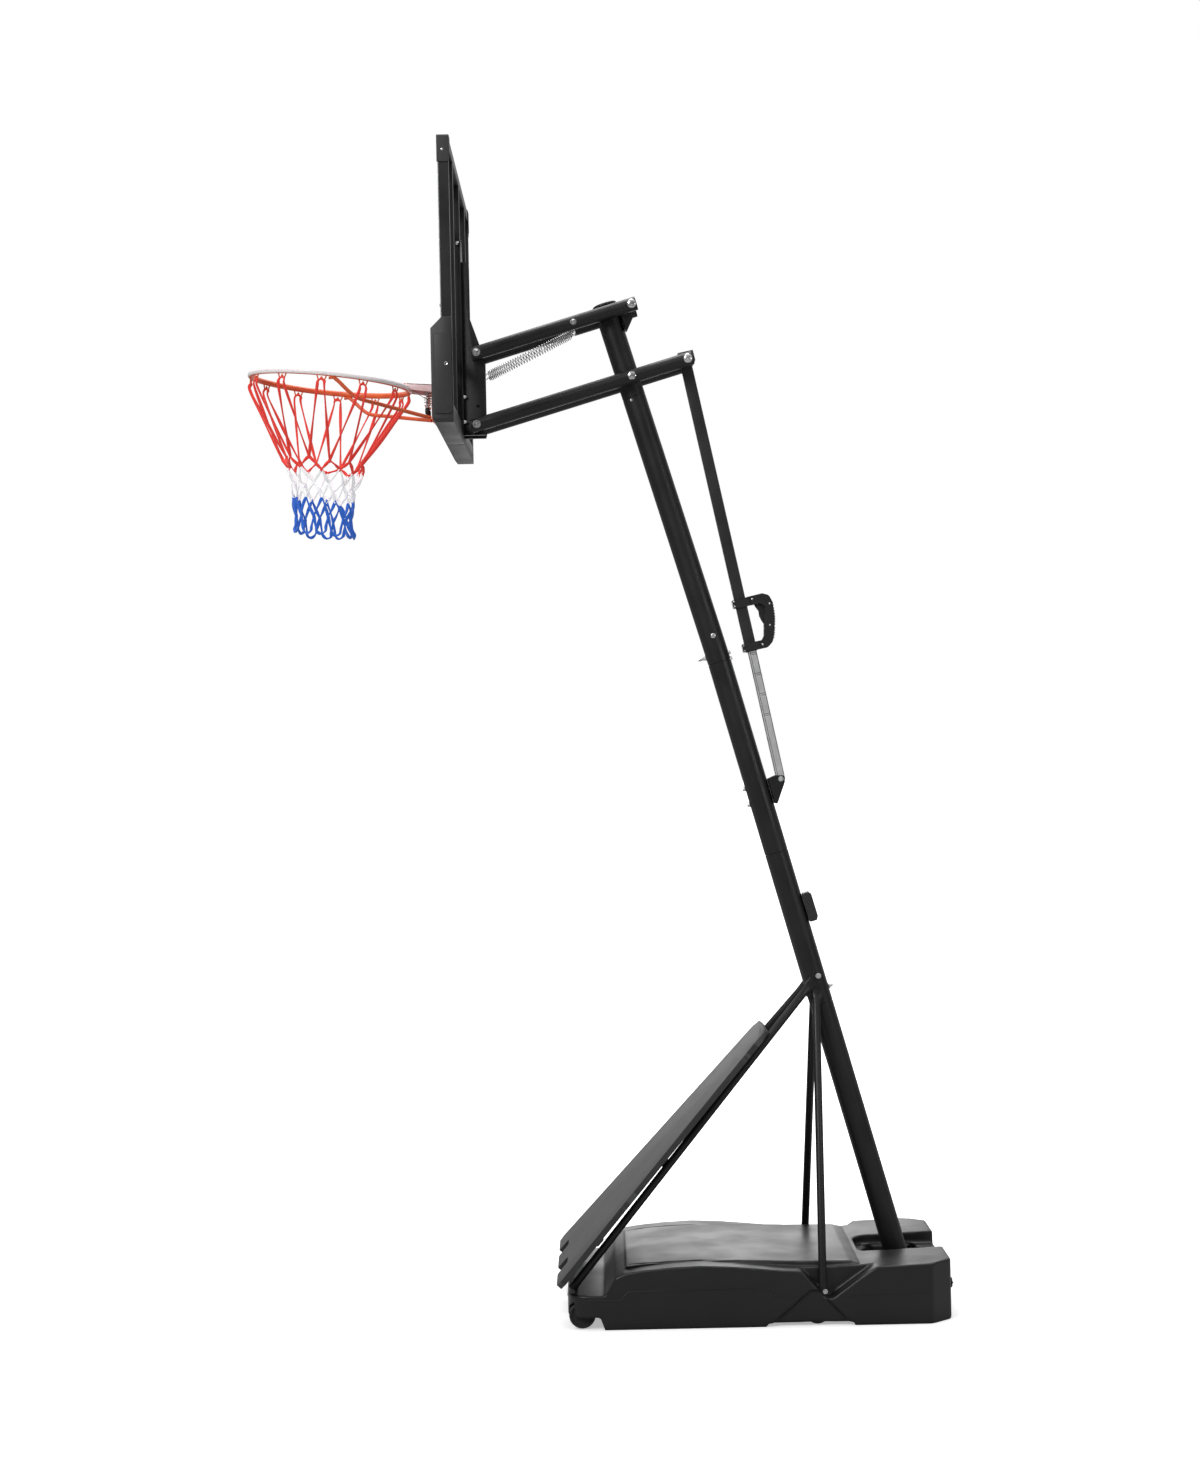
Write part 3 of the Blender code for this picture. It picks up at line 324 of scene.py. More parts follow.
def board_sheet(low, high):
    """Clear sheet with a painted white border and target square, drawn from its own proportions."""
    made = Nodes("clear_sheet", (0.72, 0.78, 0.80), 0.04)
    split = made.node("SeparateXYZ")
    made.link(made.coords, split.inputs[0])
    centre = (low + high) / 2
    half = (high - low) / 2

    def outside(half_y, middle_z, half_z):
        """Distance outside a rectangle of the sheet, negative within it."""
        across = made.math("SUBTRACT", made.math("ABSOLUTE", split.outputs["Y"]), half_y)
        height = made.math("ABSOLUTE", made.math("SUBTRACT", split.outputs["Z"], middle_z))
        return made.math("MAXIMUM", across, made.math("SUBTRACT", height, half_z))

    border = made.math("ABSOLUTE", outside(half.y - 0.035, centre.z, half.z - 0.035))
    target = made.math("ABSOLUTE", outside(0.275, 3.005, 0.190))
    line = made.math("MINIMUM", border, target)
    paint = made.math("LESS_THAN", line, 0.018)
    made.to_shader(made.mix(paint, (0.62, 0.70, 0.73), (0.82, 0.82, 0.81)), "Base Color")
    made.to_shader(made.math("ADD", made.math("MULTIPLY", paint, 0.80), 0.17), "Alpha")
    made.to_shader(made.ramp(paint, 0.0, 1.0, 0.04, 0.32), "Roughness")
    return made.material


STEEL = powder_coat("black_powder_coat", (0.006, 0.006, 0.0065), (0.010, 0.010, 0.0105), 0.45)
TUBE_STEEL = powder_coat("adjuster_powder_coat", (0.013, 0.013, 0.0135), (0.020, 0.020, 0.0205), 0.5)
ZINC = metal("zinc_plate", (0.80, 0.80, 0.81), 0.20, 0.34)
BAR_ZINC = metal("brushed_zinc", (0.90, 0.90, 0.91), 0.30, 0.35, 30.0)
SPRING = metal("spring_steel", (0.66, 0.66, 0.67), 0.24, 0.36)
TANK = moulded("tank_plastic", (0.006, 0.006, 0.0065), (0.009, 0.009, 0.0095), 0.36, 420.0, 0.0007, 0.5)
PAD = moulded("pad_plastic", (0.022, 0.022, 0.024), (0.030, 0.030, 0.032), 0.52)
HANDLE = moulded("handle_plastic", (0.011, 0.011, 0.012), (0.016, 0.016, 0.017), 0.30, 900.0, 0.0003)
CAP = moulded("cap_plastic", (0.020, 0.020, 0.021), (0.028, 0.028, 0.029), 0.40)
TYRE = moulded("wheel_rubber", (0.010, 0.010, 0.010), (0.018, 0.018, 0.018), 0.65)
ORANGE = powder_coat("orange_powder_coat", (0.70, 0.095, 0.030), (0.84, 0.15, 0.045))
RUBBER = moulded("rubber_stop", (0.006, 0.006, 0.006), (0.012, 0.012, 0.012), 0.6)
# Near-black paint for discs that stand in for the shade inside holes.
HOLE_SHADE = powder_coat("painted_hole_shade", (0.003, 0.003, 0.003), (0.004, 0.004, 0.004), 0.1)
SLOTS = {STEEL: "black_powder_coat", TUBE_STEEL: "black_powder_coat", HOLE_SHADE: "black_powder_coat"}
SLOTS |= {ZINC: "zinc_plate", BAR_ZINC: "zinc_plate", SPRING: "spring_steel", ORANGE: "orange_powder_coat"}
SLOTS |= {TANK: "tank_plastic", CAP: "tank_plastic", PAD: "pad_plastic", HANDLE: "handle_plastic"}
SLOTS |= {TYRE: "wheel_rubber", RUBBER: "wheel_rubber"}


# ---------------------------------------------------------------- shapes


def keep(name, bm, mat, body, replaces=(), sharp=38):
    """Turns a bmesh into a shown piece on a body, in the given material."""
    bmesh.ops.remove_doubles(bm, verts=bm.verts, dist=0.00001)
    bmesh.ops.recalc_face_normals(bm, faces=bm.faces)
    mesh = bpy.data.meshes.new(name)
    bm.to_mesh(mesh)
    bm.free()
    return keep_mesh(name, mesh, mat, body, replaces, sharp)


def keep_mesh(name, mesh, mat, body, replaces=(), sharp=38):
    obj = bpy.data.objects.new(name, mesh)
    bpy.context.scene.collection.objects.link(obj)
    mesh.materials.clear()
    mesh.materials.append(mat)
    mesh.shade_smooth()
    mesh.set_sharp_from_angle(angle=math.radians(sharp))
    if body:
        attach(obj, body)
    if replaces:
        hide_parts(*replaces)
    return obj


def facing(point, direction):
    """A place whose +Z runs along direction."""
    return Matrix.Translation(point) @ direction.to_track_quat("Z", "Y").to_matrix().to_4x4()


def lathe(bm, profile, place, segments=32, closed=False):
    """A turned solid: (radius, height) points about the place's +Z. A closed profile is a tube or a ring."""
    rings = []
    for radius, height in profile:
        if radius < 1e-7:
            rings.append([bm.verts.new(place @ Vector((0, 0, height)))])
            continue
        angles = [2 * math.pi * i / segments for i in range(segments)]
        rings.append([bm.verts.new(place @ Vector((radius * math.cos(a), radius * math.sin(a), height)))
                      for a in angles])
    pairs = list(zip(rings[:-1], rings[1:]))
    if closed:
        pairs.append((rings[-1], rings[0]))
    for a, b in pairs:
        for i in range(segments):
            j = (i + 1) % segments
            corners = [a[i % len(a)], a[j % len(a)], b[j % len(b)], b[i % len(b)]]
            distinct = list(dict.fromkeys(corners))
            if len(distinct) > 2:
                bm.faces.new(distinct)


def sweep(bm, path, radius, sides=12, loop=False, hint=None):
    """A tube along a path. radius is a number, or one (across, along the hint) pair for each point."""
    count = len(path)
    side = None
    rings = []
    for i, point in enumerate(path):
        ahead = path[(i + 1) % count] if loop or i < count - 1 else point
        behind = path[i - 1] if loop or i > 0 else point
        tangent = (ahead - behind).normalized()
        if hint is not None:
            side = tangent.cross(hint)
        elif side is None:
            side = tangent.cross(Y if abs(tangent.y) < 0.8 else X)
        side = (side - tangent * side.dot(tangent)).normalized()
        up = tangent.cross(side)
        a, b = (radius, radius) if isinstance(radius, float) else radius[i]
        angles = [2 * math.pi * k / sides for k in range(sides)]
        rings.append([bm.verts.new(point + side * a * math.cos(t) + up * b * math.sin(t)) for t in angles])
    pairs = list(zip(rings[:-1], rings[1:]))
    if loop:
        pairs.append((rings[-1], rings[0]))
    for first, second in pairs:
        for k in range(sides):
            j = (k + 1) % sides
            bm.faces.new((first[k], first[j], second[j], second[k]))
    if not loop:
        bm.faces.new(list(reversed(rings[0])))
        bm.faces.new(rings[-1])


def smooth_path(points, steps=6, loop=False):
    """Catmull-Rom points through the given ones."""
    count = len(points)
    out = []
    spans = count if loop else count - 1
    for i in range(spans):
        p0 = points[i - 1] if loop or i > 0 else points[0]
        p1, p2 = points[i], points[(i + 1) % count]
        p3 = points[(i + 2) % count] if loop or i < count - 2 else points[-1]
        for k in range(steps):
            t = k / steps
            a = 2 * p1 + (p2 - p0) * t + (2 * p0 - 5 * p1 + 4 * p2 - p3) * t * t
            out.append((a + (3 * p1 - p0 - 3 * p2 + p3) * t * t * t) / 2)
    if not loop:
        out.append(points[-1])
    return out


def fillet(points, radius, steps=4):
    """A closed outline of (x, y) points with every corner rounded by a radius, or by its own one."""
    count = len(points)
    out = []
    for i, corner in enumerate(points):
        here = Vector(corner[:2])
        r = corner[2] if len(corner) > 2 else radius
        before = Vector(points[i - 1][:2]) - here
        after = Vector(points[(i + 1) % count][:2]) - here
        angle = before.angle(after)
        if r <= 0 or angle > math.pi - 0.02:
            out.append(here)
            continue
        reach = min(r / math.tan(angle / 2), before.length * 0.49, after.length * 0.49)
        start, end = here + before.normalized() * reach, here + after.normalized() * reach
        for k in range(steps + 1):
            t = k / steps
            out.append(start * (1 - t) ** 2 + here * 2 * t * (1 - t) + end * t * t)
    return out


def prism(bm, outline, low, high, place=None, edge=0.0, segments=2):
    """An outline of (x, y) points, extruded from low to high along the place's +Z, with rounded rims."""
    place = place or Matrix.Identity(4)
    bottom = [bm.verts.new(place @ Vector((p[0], p[1], low))) for p in outline]
    top = [bm.verts.new(place @ Vector((p[0], p[1], high))) for p in outline]
    caps = [bm.faces.new(list(reversed(bottom))), bm.faces.new(top)]
    count = len(outline)
    for i in range(count):
        j = (i + 1) % count
        bm.faces.new((bottom[i], bottom[j], top[j], top[i]))
    if edge > 0:
        rims = [e for cap in caps for e in cap.edges]
        bmesh.ops.bevel(bm, geom=rims, offset=edge, segments=segments, affect="EDGES", profile=0.5)
    return bm


XZ = Matrix(((1, 0, 0, 0), (0, 0, -1, 0), (0, 1, 0, 0), (0, 0, 0, 1)))  # (x, z) outline, extruded along -Y
YZ = Matrix(((0, 0, 1, 0), (1, 0, 0, 0), (0, 1, 0, 0), (0, 0, 0, 1)))  # (y, z) outline, extruded along +X


def cheeks(bm, outline, inner, outer, place=XZ, edge=0.0):
    """The same plate on both sides of the middle, between two distances from it."""
    for _, side in SIDES:
        low, high = sorted((-side * inner, -side * outer))
        prism(bm, outline, low, high, place, edge)


def vectors(*triples):
    return [Vector(triple) for triple in triples]


def join_loops(bm, loops):
    """A closed shell through equal loops of points: outside, inside and the two rims."""
    rings = [[bm.verts.new(point) for point in loop] for loop in loops]
    for first, second in zip(rings, rings[1:] + rings[:1]):
        for i in range(len(first)):
            j = (i + 1) % len(first)
            bm.faces.new((first[i], first[j], second[j], second[i]))


def mirrored(points, sign=-1.0):
    return [Vector((p.x, sign * p.y, p.z)) for p in points]


def block(bm, low, high, edge=0.0, segments=2, place=None):
    """A box between two corners with rounded edges."""
    low, high = Vector(low), Vector(high)
    place = place or Matrix.Identity(4)
    size = Matrix.Diagonal((*(high - low), 1.0))
    made = bmesh.ops.create_cube(bm, size=1.0, matrix=place @ Matrix.Translation((low + high) / 2) @ size)
    if edge > 0:
        edges = list({e for v in made["verts"] for e in v.link_edges})
        bmesh.ops.bevel(bm, geom=edges, offset=edge, segments=segments, affect="EDGES", profile=0.5)


def rounded_tube(radius, wall, length, edge=0.0010, start=0.0):
    """The closed profile of a tube whose end rims are slightly rounded."""
    inner = radius - wall
    return [
        (inner, start),
        (radius - edge, start),
        (radius, start + edge),
        (radius, length - edge),
        (radius - edge, length),
        (inner, length),
    ]


def hex_head(bm, place, flats, height, washer=0.0, washer_height=0.0018):
    """A hexagonal head or nut, with a washer under it, standing on the place's +Z."""
    corner = flats / math.sqrt(3)
    base = 0.0
    if washer > 0:
        rim = washer - 0.0004
        lathe(bm, [(0, 0), (rim, 0), (washer, 0.0004), (washer, washer_height), (0, washer_height)], place,
              28)
        base = washer_height
    top = base + height
    profile = [(0, base), (corner, base), (corner, top - 0.0012), (corner * 0.86, top), (0, top)]
    lathe(bm, profile, place, 6)


def stud(bm, place, radius, height):
    """A threaded end: a short shank with ridges and a chamfer."""
    profile = [(0, 0)]
    rings = max(2, int(height / 0.0012))
    for i in range(rings):
        z = height * i / rings
        profile += [(radius, z), (radius * 0.90, z + height / rings * 0.5)]
    profile += [(radius * 0.8, height), (0, height)]
    lathe(bm, profile, place, 16)


def dome_head(bm, place, radius, height):
    """A low domed head, as on a carriage bolt or a pan screw."""
    profile = [(0, 0), (radius * 0.97, 0), (radius, height * 0.15)]
    for i in range(1, 7):
        a = i / 6 * math.pi / 2
        profile.append((radius * math.cos(a), height * (0.15 + 0.85 * math.sin(a))))
    profile[-1] = (0, height)
    lathe(bm, profile, place, 28)


def shank(bm, centre, half, radius=0.0058):
    lathe(bm, [(0, -half), (radius, -half), (radius, half), (0, half)], facing(centre, Y), 16)


def solid_of(bm_parts):
    """Helpers for Booleans, from (name, bmesh, operation) in order: the first one, and all of them."""
    objects = []
    for name, bm, _ in bm_parts:
        bmesh.ops.recalc_face_normals(bm, faces=bm.faces)
        mesh = bpy.data.meshes.new(name)
        bm.to_mesh(mesh)
        bm.free()
        obj = bpy.data.objects.new(name, mesh)
        bpy.context.scene.collection.objects.link(obj)
        objects.append(obj)
    body = objects[0]
    for (name, _, operation), other in list(zip(bm_parts, objects))[1:]:
        modifier = body.modifiers.new(name, "BOOLEAN")
        modifier.operation = operation
        modifier.object = other
    return body, objects


def bevelled(obj, width, angle):
    """Rounds a helper's edges sharper than an angle, once its Booleans are done."""
    bevel = obj.modifiers.new("Bevel", "BEVEL")
    bevel.width = width
    bevel.segments = 3
    bevel.limit_method = "ANGLE"
    bevel.angle_limit = math.radians(angle)


def baked(body, objects):
    """The evaluated mesh of a helper, with all the helpers removed."""
    bpy.context.view_layer.update()
    graph = bpy.context.evaluated_depsgraph_get()
    mesh = bpy.data.meshes.new_from_object(body.evaluated_get(graph))
    for obj in objects:
        bpy.data.objects.remove(obj)
    return mesh


# ---------------------------------------------------------------- pole


def pole():
    names = ("pole_foot_section", "pole_lower_section", "pole_middle_section", "pole_upper_section",
             "pole_head_section")
    heights = (POLE_FOOT, *SEAMS, POLE_TOP)
    for index, name in enumerate(names):
        low, high = pole_at(heights[index]), pole_at(heights[index + 1])
        place = facing(low, (high - low).normalized())
        length = (high - low).length - 0.0014
        bm = bmesh.new()
        lathe(bm, rounded_tube(POLE_RADIUS, 0.0016, length, 0.0010), place, 56, closed=True)
        if index:
            lathe(bm, rounded_tube(0.0331, 0.0014, 0.010, 0.0004, -0.060), place, 56, closed=True)
        if index == 1:
            outline = fillet([(0.170, 0.950), (0.199, 0.987), (0.224, 0.958), (0.222, 0.908),
                              (0.180, 0.897)], 0.006)
            cheeks(bm, outline, 0.0338, 0.0385, edge=0.0006)
        keep(name + "_tube", bm, STEEL, "stand", (name,))
    bm = bmesh.new()
    rim = POLE_RADIUS + 0.0014
    profile = [(0, -0.018), (0.0330, -0.018), (0.0330, 0.0004), (rim - 0.0006, 0.0004), (rim, 0.0012),
               (rim, 0.0050)]
    profile += [(rim - 0.0012, 0.0072), (rim - 0.004, 0.0086), (0.018, 0.0094), (0, 0.0096)]
    lathe(bm, profile, facing(pole_at(POLE_TOP), pole_axes(POLE_TOP)[0]), 48)
    keep("pole_cap_dome", bm, CAP, "stand", ("pole_cap",))


def pole_hardware():
    """Bolts and nuts that go through the pole at its joints."""
    bm = bmesh.new()
    near = -Y
    surface = POLE_RADIUS + 0.0002
    dome_head(bm, facing(pole_at(1.984, 0.004, -surface), near), 0.0080, 0.0040)
    dome_head(bm, facing(pole_at(2.694, -0.012, -0.0330), near), 0.0042, 0.0028)
    dome_head(bm, facing(pole_at(2.694, -0.012, 0.0330), Y), 0.0042, 0.0028)
    dome_head(bm, facing(pole_at(1.988, 0.0, surface), Y), 0.0080, 0.0040)
    rear = pole_axes(1.5)[1]
    front = -rear
    lathe(bm, [(0, 0), (0.0048, 0), (0.0048, 0.018), (0.0036, 0.024), (0, 0.025)],
          facing(pole_at(1.930, -surface), front), 16)
    hex_head(bm, facing(pole_at(1.930, -surface), front), 0.0130, 0.0065, 0.0085)
    for height in (1.925, 1.909):
        hex_head(bm, facing(pole_at(height, surface), rear), 0.0110, 0.0045)
    for height in (1.537, 1.490):
        hex_head(bm, facing(pole_at(height, -surface), front), 0.0130, 0.0068, 0.0085)
    hex_head(bm, facing(pole_at(0.925, surface), rear), 0.0120, 0.0055, 0.0090)
    stud(bm, facing(pole_at(0.925, surface + 0.006), rear), 0.0036, 0.007)
    keep("pole_fasteners", bm, ZINC, "stand")


def head_bracket():
    """The U of two cheeks welded behind the pole's top, and the web that joins them."""
    bm = bmesh.new()
    low, high = pole_at(2.8905, POLE_SKIN), pole_at(2.950, POLE_SKIN)
    rear = [(-0.300, 2.992), (-0.288, 2.980), (-0.290, 2.957), (-0.2985, 2.942), (-0.3165, 2.9025)]
    outline = fillet([(low.x, low.z, 0), (high.x, high.z, 0), *rear], 0.004)
    cheeks(bm, outline, 0.0220, 0.0250, edge=0.0006)
    centre = (low + high) / 2
    half = (high - low).length / 2
    block(bm, (-0.0250, 0.0, -half), (0.0250, 0.0030, half), 0.0006, 2, aligned(centre, *pole_axes(2.9)))
    keep("head_bracket_plates", bm, STEEL, "stand", ("head_bracket",))


def aligned(point, up, back):
    """A place whose local Z is up, local Y is back, and local X is across the hoop."""
    across = back.cross(up)
    turn = Matrix((across, back, up)).transposed().to_4x4()
    return Matrix.Translation(point) @ turn


def adjuster_bracket():
    bm = bmesh.new()
    low, high = pole_at(1.474, POLE_SKIN), pole_at(1.546, POLE_SKIN)
    foot = STRUT_FOOT
    rear = [(0.098, 1.566), (foot.x + 0.012, foot.z + 0.010), (foot.x + 0.012, foot.z - 0.010),
            (0.102, 1.481)]
    outline = fillet([(low.x, low.z, 0), (high.x, high.z, 0), *rear], 0.007)
    cheeks(bm, outline, 0.0165, 0.0195, edge=0.0006)
    centre = (low + high) / 2
    half = (high - low).length / 2
    block(bm, (-0.0195, 0.0, -half), (0.0195, 0.0030, half), 0.0006, 2, aligned(centre, *pole_axes(1.5)))
    keep("adjuster_bracket_plates", bm, STEEL, "stand", ("adjuster_bracket",))
    for name, side in SIDES:
        bm = bmesh.new()
        place = facing(foot + Y * side * 0.0197, Y * side)
        hex_head(bm, place, 0.0120, 0.0045, 0.0078, 0.0012)
        if side > 0:
            stud(bm, facing(foot + Y * 0.0254, Y), 0.0036, 0.004)
        nodes = (f"adjuster_pivot_bolt_{name}",)
        keep(f"adjuster_bolt_head_{name}", bm, ZINC, "stand", nodes)


def grip_block():
    """The moulded block behind the pole with a rounded lug on its top."""
    bm = bmesh.new()
    low, high = pole_at(1.118, POLE_SKIN), pole_at(1.200, POLE_SKIN)
    place = aligned((low + high) / 2, *pole_axes(1.15))
    half = (high - low).length / 2
    outline = [(0.0, -half), (0.0, half), (0.022, half), (0.0275, half - 0.004), (0.0280, -half + 0.012),
               (0.022, -half)]
    prism(bm, fillet(outline, 0.004), -0.0245, 0.0245, place @ YZ, 0.0030, 3)
    keep("pole_grip_moulding", bm, CAP, "stand", ("pole_grip_block",))
    bm = bmesh.new()
    lug = place @ Matrix.Translation((0, 0.012, half - 0.001))
    block(bm, (-0.014, -0.010, 0.0), (0.014, 0.011, 0.0055), 0.0022, 3, lug)
    keep("pole_grip_lug", bm, metal("worn_zinc", (0.55, 0.55, 0.55), 0.3, 0.45), "stand")


# ---------------------------------------------------------------- linkage


def arm_pair(prefix, body, start, end):
    for name, side in SIDES:
        bm = bmesh.new()
        place = facing(start + Y * side * ARM_OFFSET, (end - start).normalized())
        lathe(bm, rounded_tube(ARM_RADIUS, 0.0018, (end - start).length, 0.0006), place, 40, closed=True)
        keep(f"{prefix}_{name}_tube", bm, STEEL, body, (f"{prefix}_{name}",))


def arms():
    front, rear = ARM_DIRECTION * 0.017, ARM_DIRECTION * -0.015
    arm_pair("lower_arm", "lower_arms", LOWER_FRONT + front, LEVER_END + rear)
    arm_pair("upper_arm", "upper_arms", UPPER_FRONT + front, UPPER_PIVOT + rear)


def arm_bolts():
    """The bolts through both arm pairs: large bright heads at the rear, washers and nuts at the front."""
    rows = (
        ("upper_pivot_bolt", UPPER_PIVOT, "stand", "dome"),
        ("lower_pivot_bolt", LOWER_PIVOT, "stand", "hex"),
        ("lever_bolt", LEVER_END, "lower_arms", "dome"),
        ("lower_front_bolt", LOWER_FRONT, "lower_arms", "nut"),
        ("upper_front_bolt", UPPER_FRONT, "board", "nut"),
    )
    for node, centre, body, kind in rows:
        bm = bmesh.new()
        shank(bm, centre, BOLT_REACH)
        near, far = facing(centre - Y * BOLT_REACH, -Y), facing(centre + Y * BOLT_REACH, Y)
        if kind == "dome":
            dome_head(bm, near, 0.0138, 0.0066)
        elif kind == "hex":
            hex_head(bm, near, 0.0225, 0.0078)
        else:
            hex_head(bm, near, 0.0150, 0.0066, 0.0120)
            stud(bm, facing(centre - Y * (BOLT_REACH + 0.0084), -Y), 0.0040, 0.0020)
        if kind == "nut":
            dome_head(bm, far, 0.0120, 0.0066)
        else:
            hex_head(bm, far, 0.0150, 0.0066, 0.0120)
            stud(bm, facing(centre + Y * (BOLT_REACH + 0.0084), Y), 0.0040, 0.0020)
        keep(node + "_set", bm, ZINC, body, (node,))


def spring_anchor():
    """The cross bolt on the upper arms that the lift springs hook onto."""
    centre = SPRING_ANCHOR
    bm = bmesh.new()
    shank(bm, centre, BOLT_REACH, 0.0042)
    hex_head(bm, facing(centre - Y * BOLT_REACH, -Y), 0.0130, 0.0050, 0.0095)
    stud(bm, facing(centre - Y * (BOLT_REACH + 0.0068), -Y), 0.0036, 0.0022)
    hex_head(bm, facing(centre + Y * BOLT_REACH, Y), 0.0130, 0.0050, 0.0095)
    low = centre - Z * ANCHOR_DROP
    for _, side in SIDES:
        sweep(bm, [centre + Y * side * ANCHOR_SIDE, low + Y * side * ANCHOR_SIDE], 0.0034, 12)
        nut = [(0, -0.005), (0.0060, -0.004), (0.0066, 0.0), (0.0060, 0.004), (0, 0.005)]
        lathe(bm, nut, facing(low + Y * side * ANCHOR_SIDE, Z), 16)
    keep("spring_anchor_bolt", bm, ZINC, "upper_arms")


def coil(start, end, radius, turns, sag=0.0, steps=14):
    """Points of a coil that hangs a little in the middle, its turns closing up and drawn in at both ends."""
    axis = (end - start).normalized()
    across = axis.cross(Y).normalized()
    other = axis.cross(across)
    length = (end - start).length
    points = []
    total = turns * steps
    for i in range(total + 1):
        angle = 2 * math.pi * i / steps
        fade = min(1.0, i / steps, (total - i) / steps)
        r = radius * (0.35 + 0.65 * fade)
        t = i / total
        along = 0.008 + (length - 0.016) * (t - 0.045 * math.sin(2 * math.pi * t))
        centre = start + axis * along - Z * sag * math.sin(math.pi * t)
        points.append(centre + across * r * math.cos(angle) + other * r * math.sin(angle))
    return [start, *points, end]


def lift_springs():
    start = Vector((-0.7400, 0.0, 2.7720))
    end = SPRING_ANCHOR - Z * ANCHOR_DROP
    for name, side in SIDES:
        drop = 0.004 if side > 0 else 0.0
        a, b = start + Y * side * 0.0310 - Z * drop, end + Y * side * ANCHOR_SIDE
        bm = bmesh.new()
        sweep(bm, coil(a, b, 0.0090, 40), 0.00125, 8)
        hook = vectors((0, 0, 0), (-0.006, 0, 0.001), (-0.010, side * 0.003, 0.001),
                       (-0.012, side * 0.008, 0))
        sweep(bm, smooth_path([a + point for point in hook], 4), 0.00125, 8)
        obj = keep(f"lift_spring_coil_{name}", bm, SPRING, None, (f"lift_spring_{name}",))
        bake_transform(obj)


# ---------------------------------------------------------------- adjuster

# In the strut plane x runs down the strut, y towards the rear and z across the hoop.
STRUT_AXES = Matrix((STRUT_DOWN, STRUT_BACK, STRUT_DOWN.cross(STRUT_BACK))).transposed()
STRUT_PLANE = Matrix.Translation(LEVER_END) @ STRUT_AXES.to_4x4()


def adjuster_tube():
    bm = bmesh.new()
    outer = fillet([(-0.0168, -0.0168), (0.0168, -0.0168), (0.0168, 0.0168), (-0.0168, 0.0168)], 0.0035, 3)
    inner = fillet([(-0.0148, -0.0148), (0.0148, -0.0148), (0.0148, 0.0148), (-0.0148, 0.0148)], 0.002, 3)
    top, bottom = on_strut(-0.012, -0.0045), on_strut(0.885, -0.0010)
    place = facing(top, (bottom - top).normalized())
    length = (bottom - top).length
    ends = ((outer, 0.0), (outer, length), (inner, length), (inner, 0.0))
    join_loops(bm, [[place @ Vector((p.x, p.y, height)) for p in loop] for loop, height in ends])
    fork = fillet([(-0.0300, -0.0225, 0.004), (-0.0300, 0.0240, 0.004), (0.0015, 0.0250), (0.016, 0.0125),
                   (0.016, -0.0215)], 0.003)
    cheeks(bm, fork, 0.0172, 0.0197, STRUT_PLANE, 0.0006)
    block(bm, (-0.0300, -0.0225, -0.0190), (-0.0275, 0.0240, 0.0190), 0.0006, 2, STRUT_PLANE)
    keep("adjuster_tube_square", bm, TUBE_STEEL, "adjuster_tube", ("adjuster_tube",), 50)


def adjuster_bar():
    """The zinc inner bar: a channel with bright sides, and a slot at each rung; thin dark strips paint shade
    along its edges and beside its slots.
    """
    half, length_start, length_end = 0.0132, 0.600, 1.280
    pitch, first = 0.062, 0.892
    bm = bmesh.new()
    outline = [(length_start, -half), (length_end, -half, 0.012), (length_end, half, 0.006),
               (length_start, half)]
    for low, high in ((-half, -half + 0.0022), (half - 0.0022, half)):
        prism(bm, fillet(outline, 0.0006, 4), low, high, STRUT_PLANE, 0.0004, 1)
    block(bm, (length_start + 0.001, -half, -half + 0.001),
          (length_end - 0.006, -half + 0.0022, half - 0.001), 0.0003, 1, STRUT_PLANE)
    for index in range(-4, 4):
        down = first + pitch * index
        low = (down + 0.0042, half - 0.0030, -half + 0.001)
        high = (down + pitch - 0.0042, half - 0.0008, half - 0.001)
        block(bm, low, high, 0.0003, 1, STRUT_PLANE)
    keep("adjuster_bar_channel", bm, BAR_ZINC, "adjuster_bar", ("adjuster_bar",))
    # Thin dark strips on both sides: painted shade along the channel's edges and beside each slot.
    bm = bmesh.new()
    for _, side in SIDES:
        low, high = sorted((side * (half - 0.0004), side * (half + 0.0003)))
        for back, width in ((-half + 0.0012, 0.0011), (-half + 0.0068, 0.0007), (half - 0.0012, 0.0011)):
            block(bm, (length_start, back - width, low), (length_end - 0.016, back + width, high), 0.0002,
                  1, STRUT_PLANE)
        for index in range(-1, 4):
            for shift, reach in ((-0.0026, 0.0), (0.0026, 0.004)):
                down = first + pitch * index + shift
                block(bm, (down - 0.0008, -half + 0.0068 + reach, low),
                      (down + 0.0008, half - 0.0012, high), 0.0002, 1, STRUT_PLANE)
    dull_and_shade = metal("zinc_edge_shade", (0.13, 0.13, 0.135), 0.35, 0.5)
    keep("adjuster_bar_edges", bm, dull_and_shade, "adjuster_bar")


def handle_outline():
    outer = [(0.7245, -0.0262, 0.004), (0.7225, 0.067, 0.014), (0.732, 0.0855, 0.016), (0.755, 0.0920, 0.02)]
    outer += [(0.800, 0.0885, 0.03), (0.845, 0.0770, 0.03), (0.870, 0.0670, 0.02), (0.8835, 0.049, 0.016),
              (0.8835, -0.0262, 0.004)]
    inner = [(0.8585, -0.0262, 0.003), (0.8585, 0.036, 0.008), (0.848, 0.0440, 0.010), (0.815, 0.0520, 0.02)]
    inner += [(0.775, 0.0630, 0.02), (0.762, 0.0660, 0.006), (0.7500, 0.055, 0.008), (0.7500, -0.0262, 0.003)]
    return fillet(outer + inner, 0.004, 5)


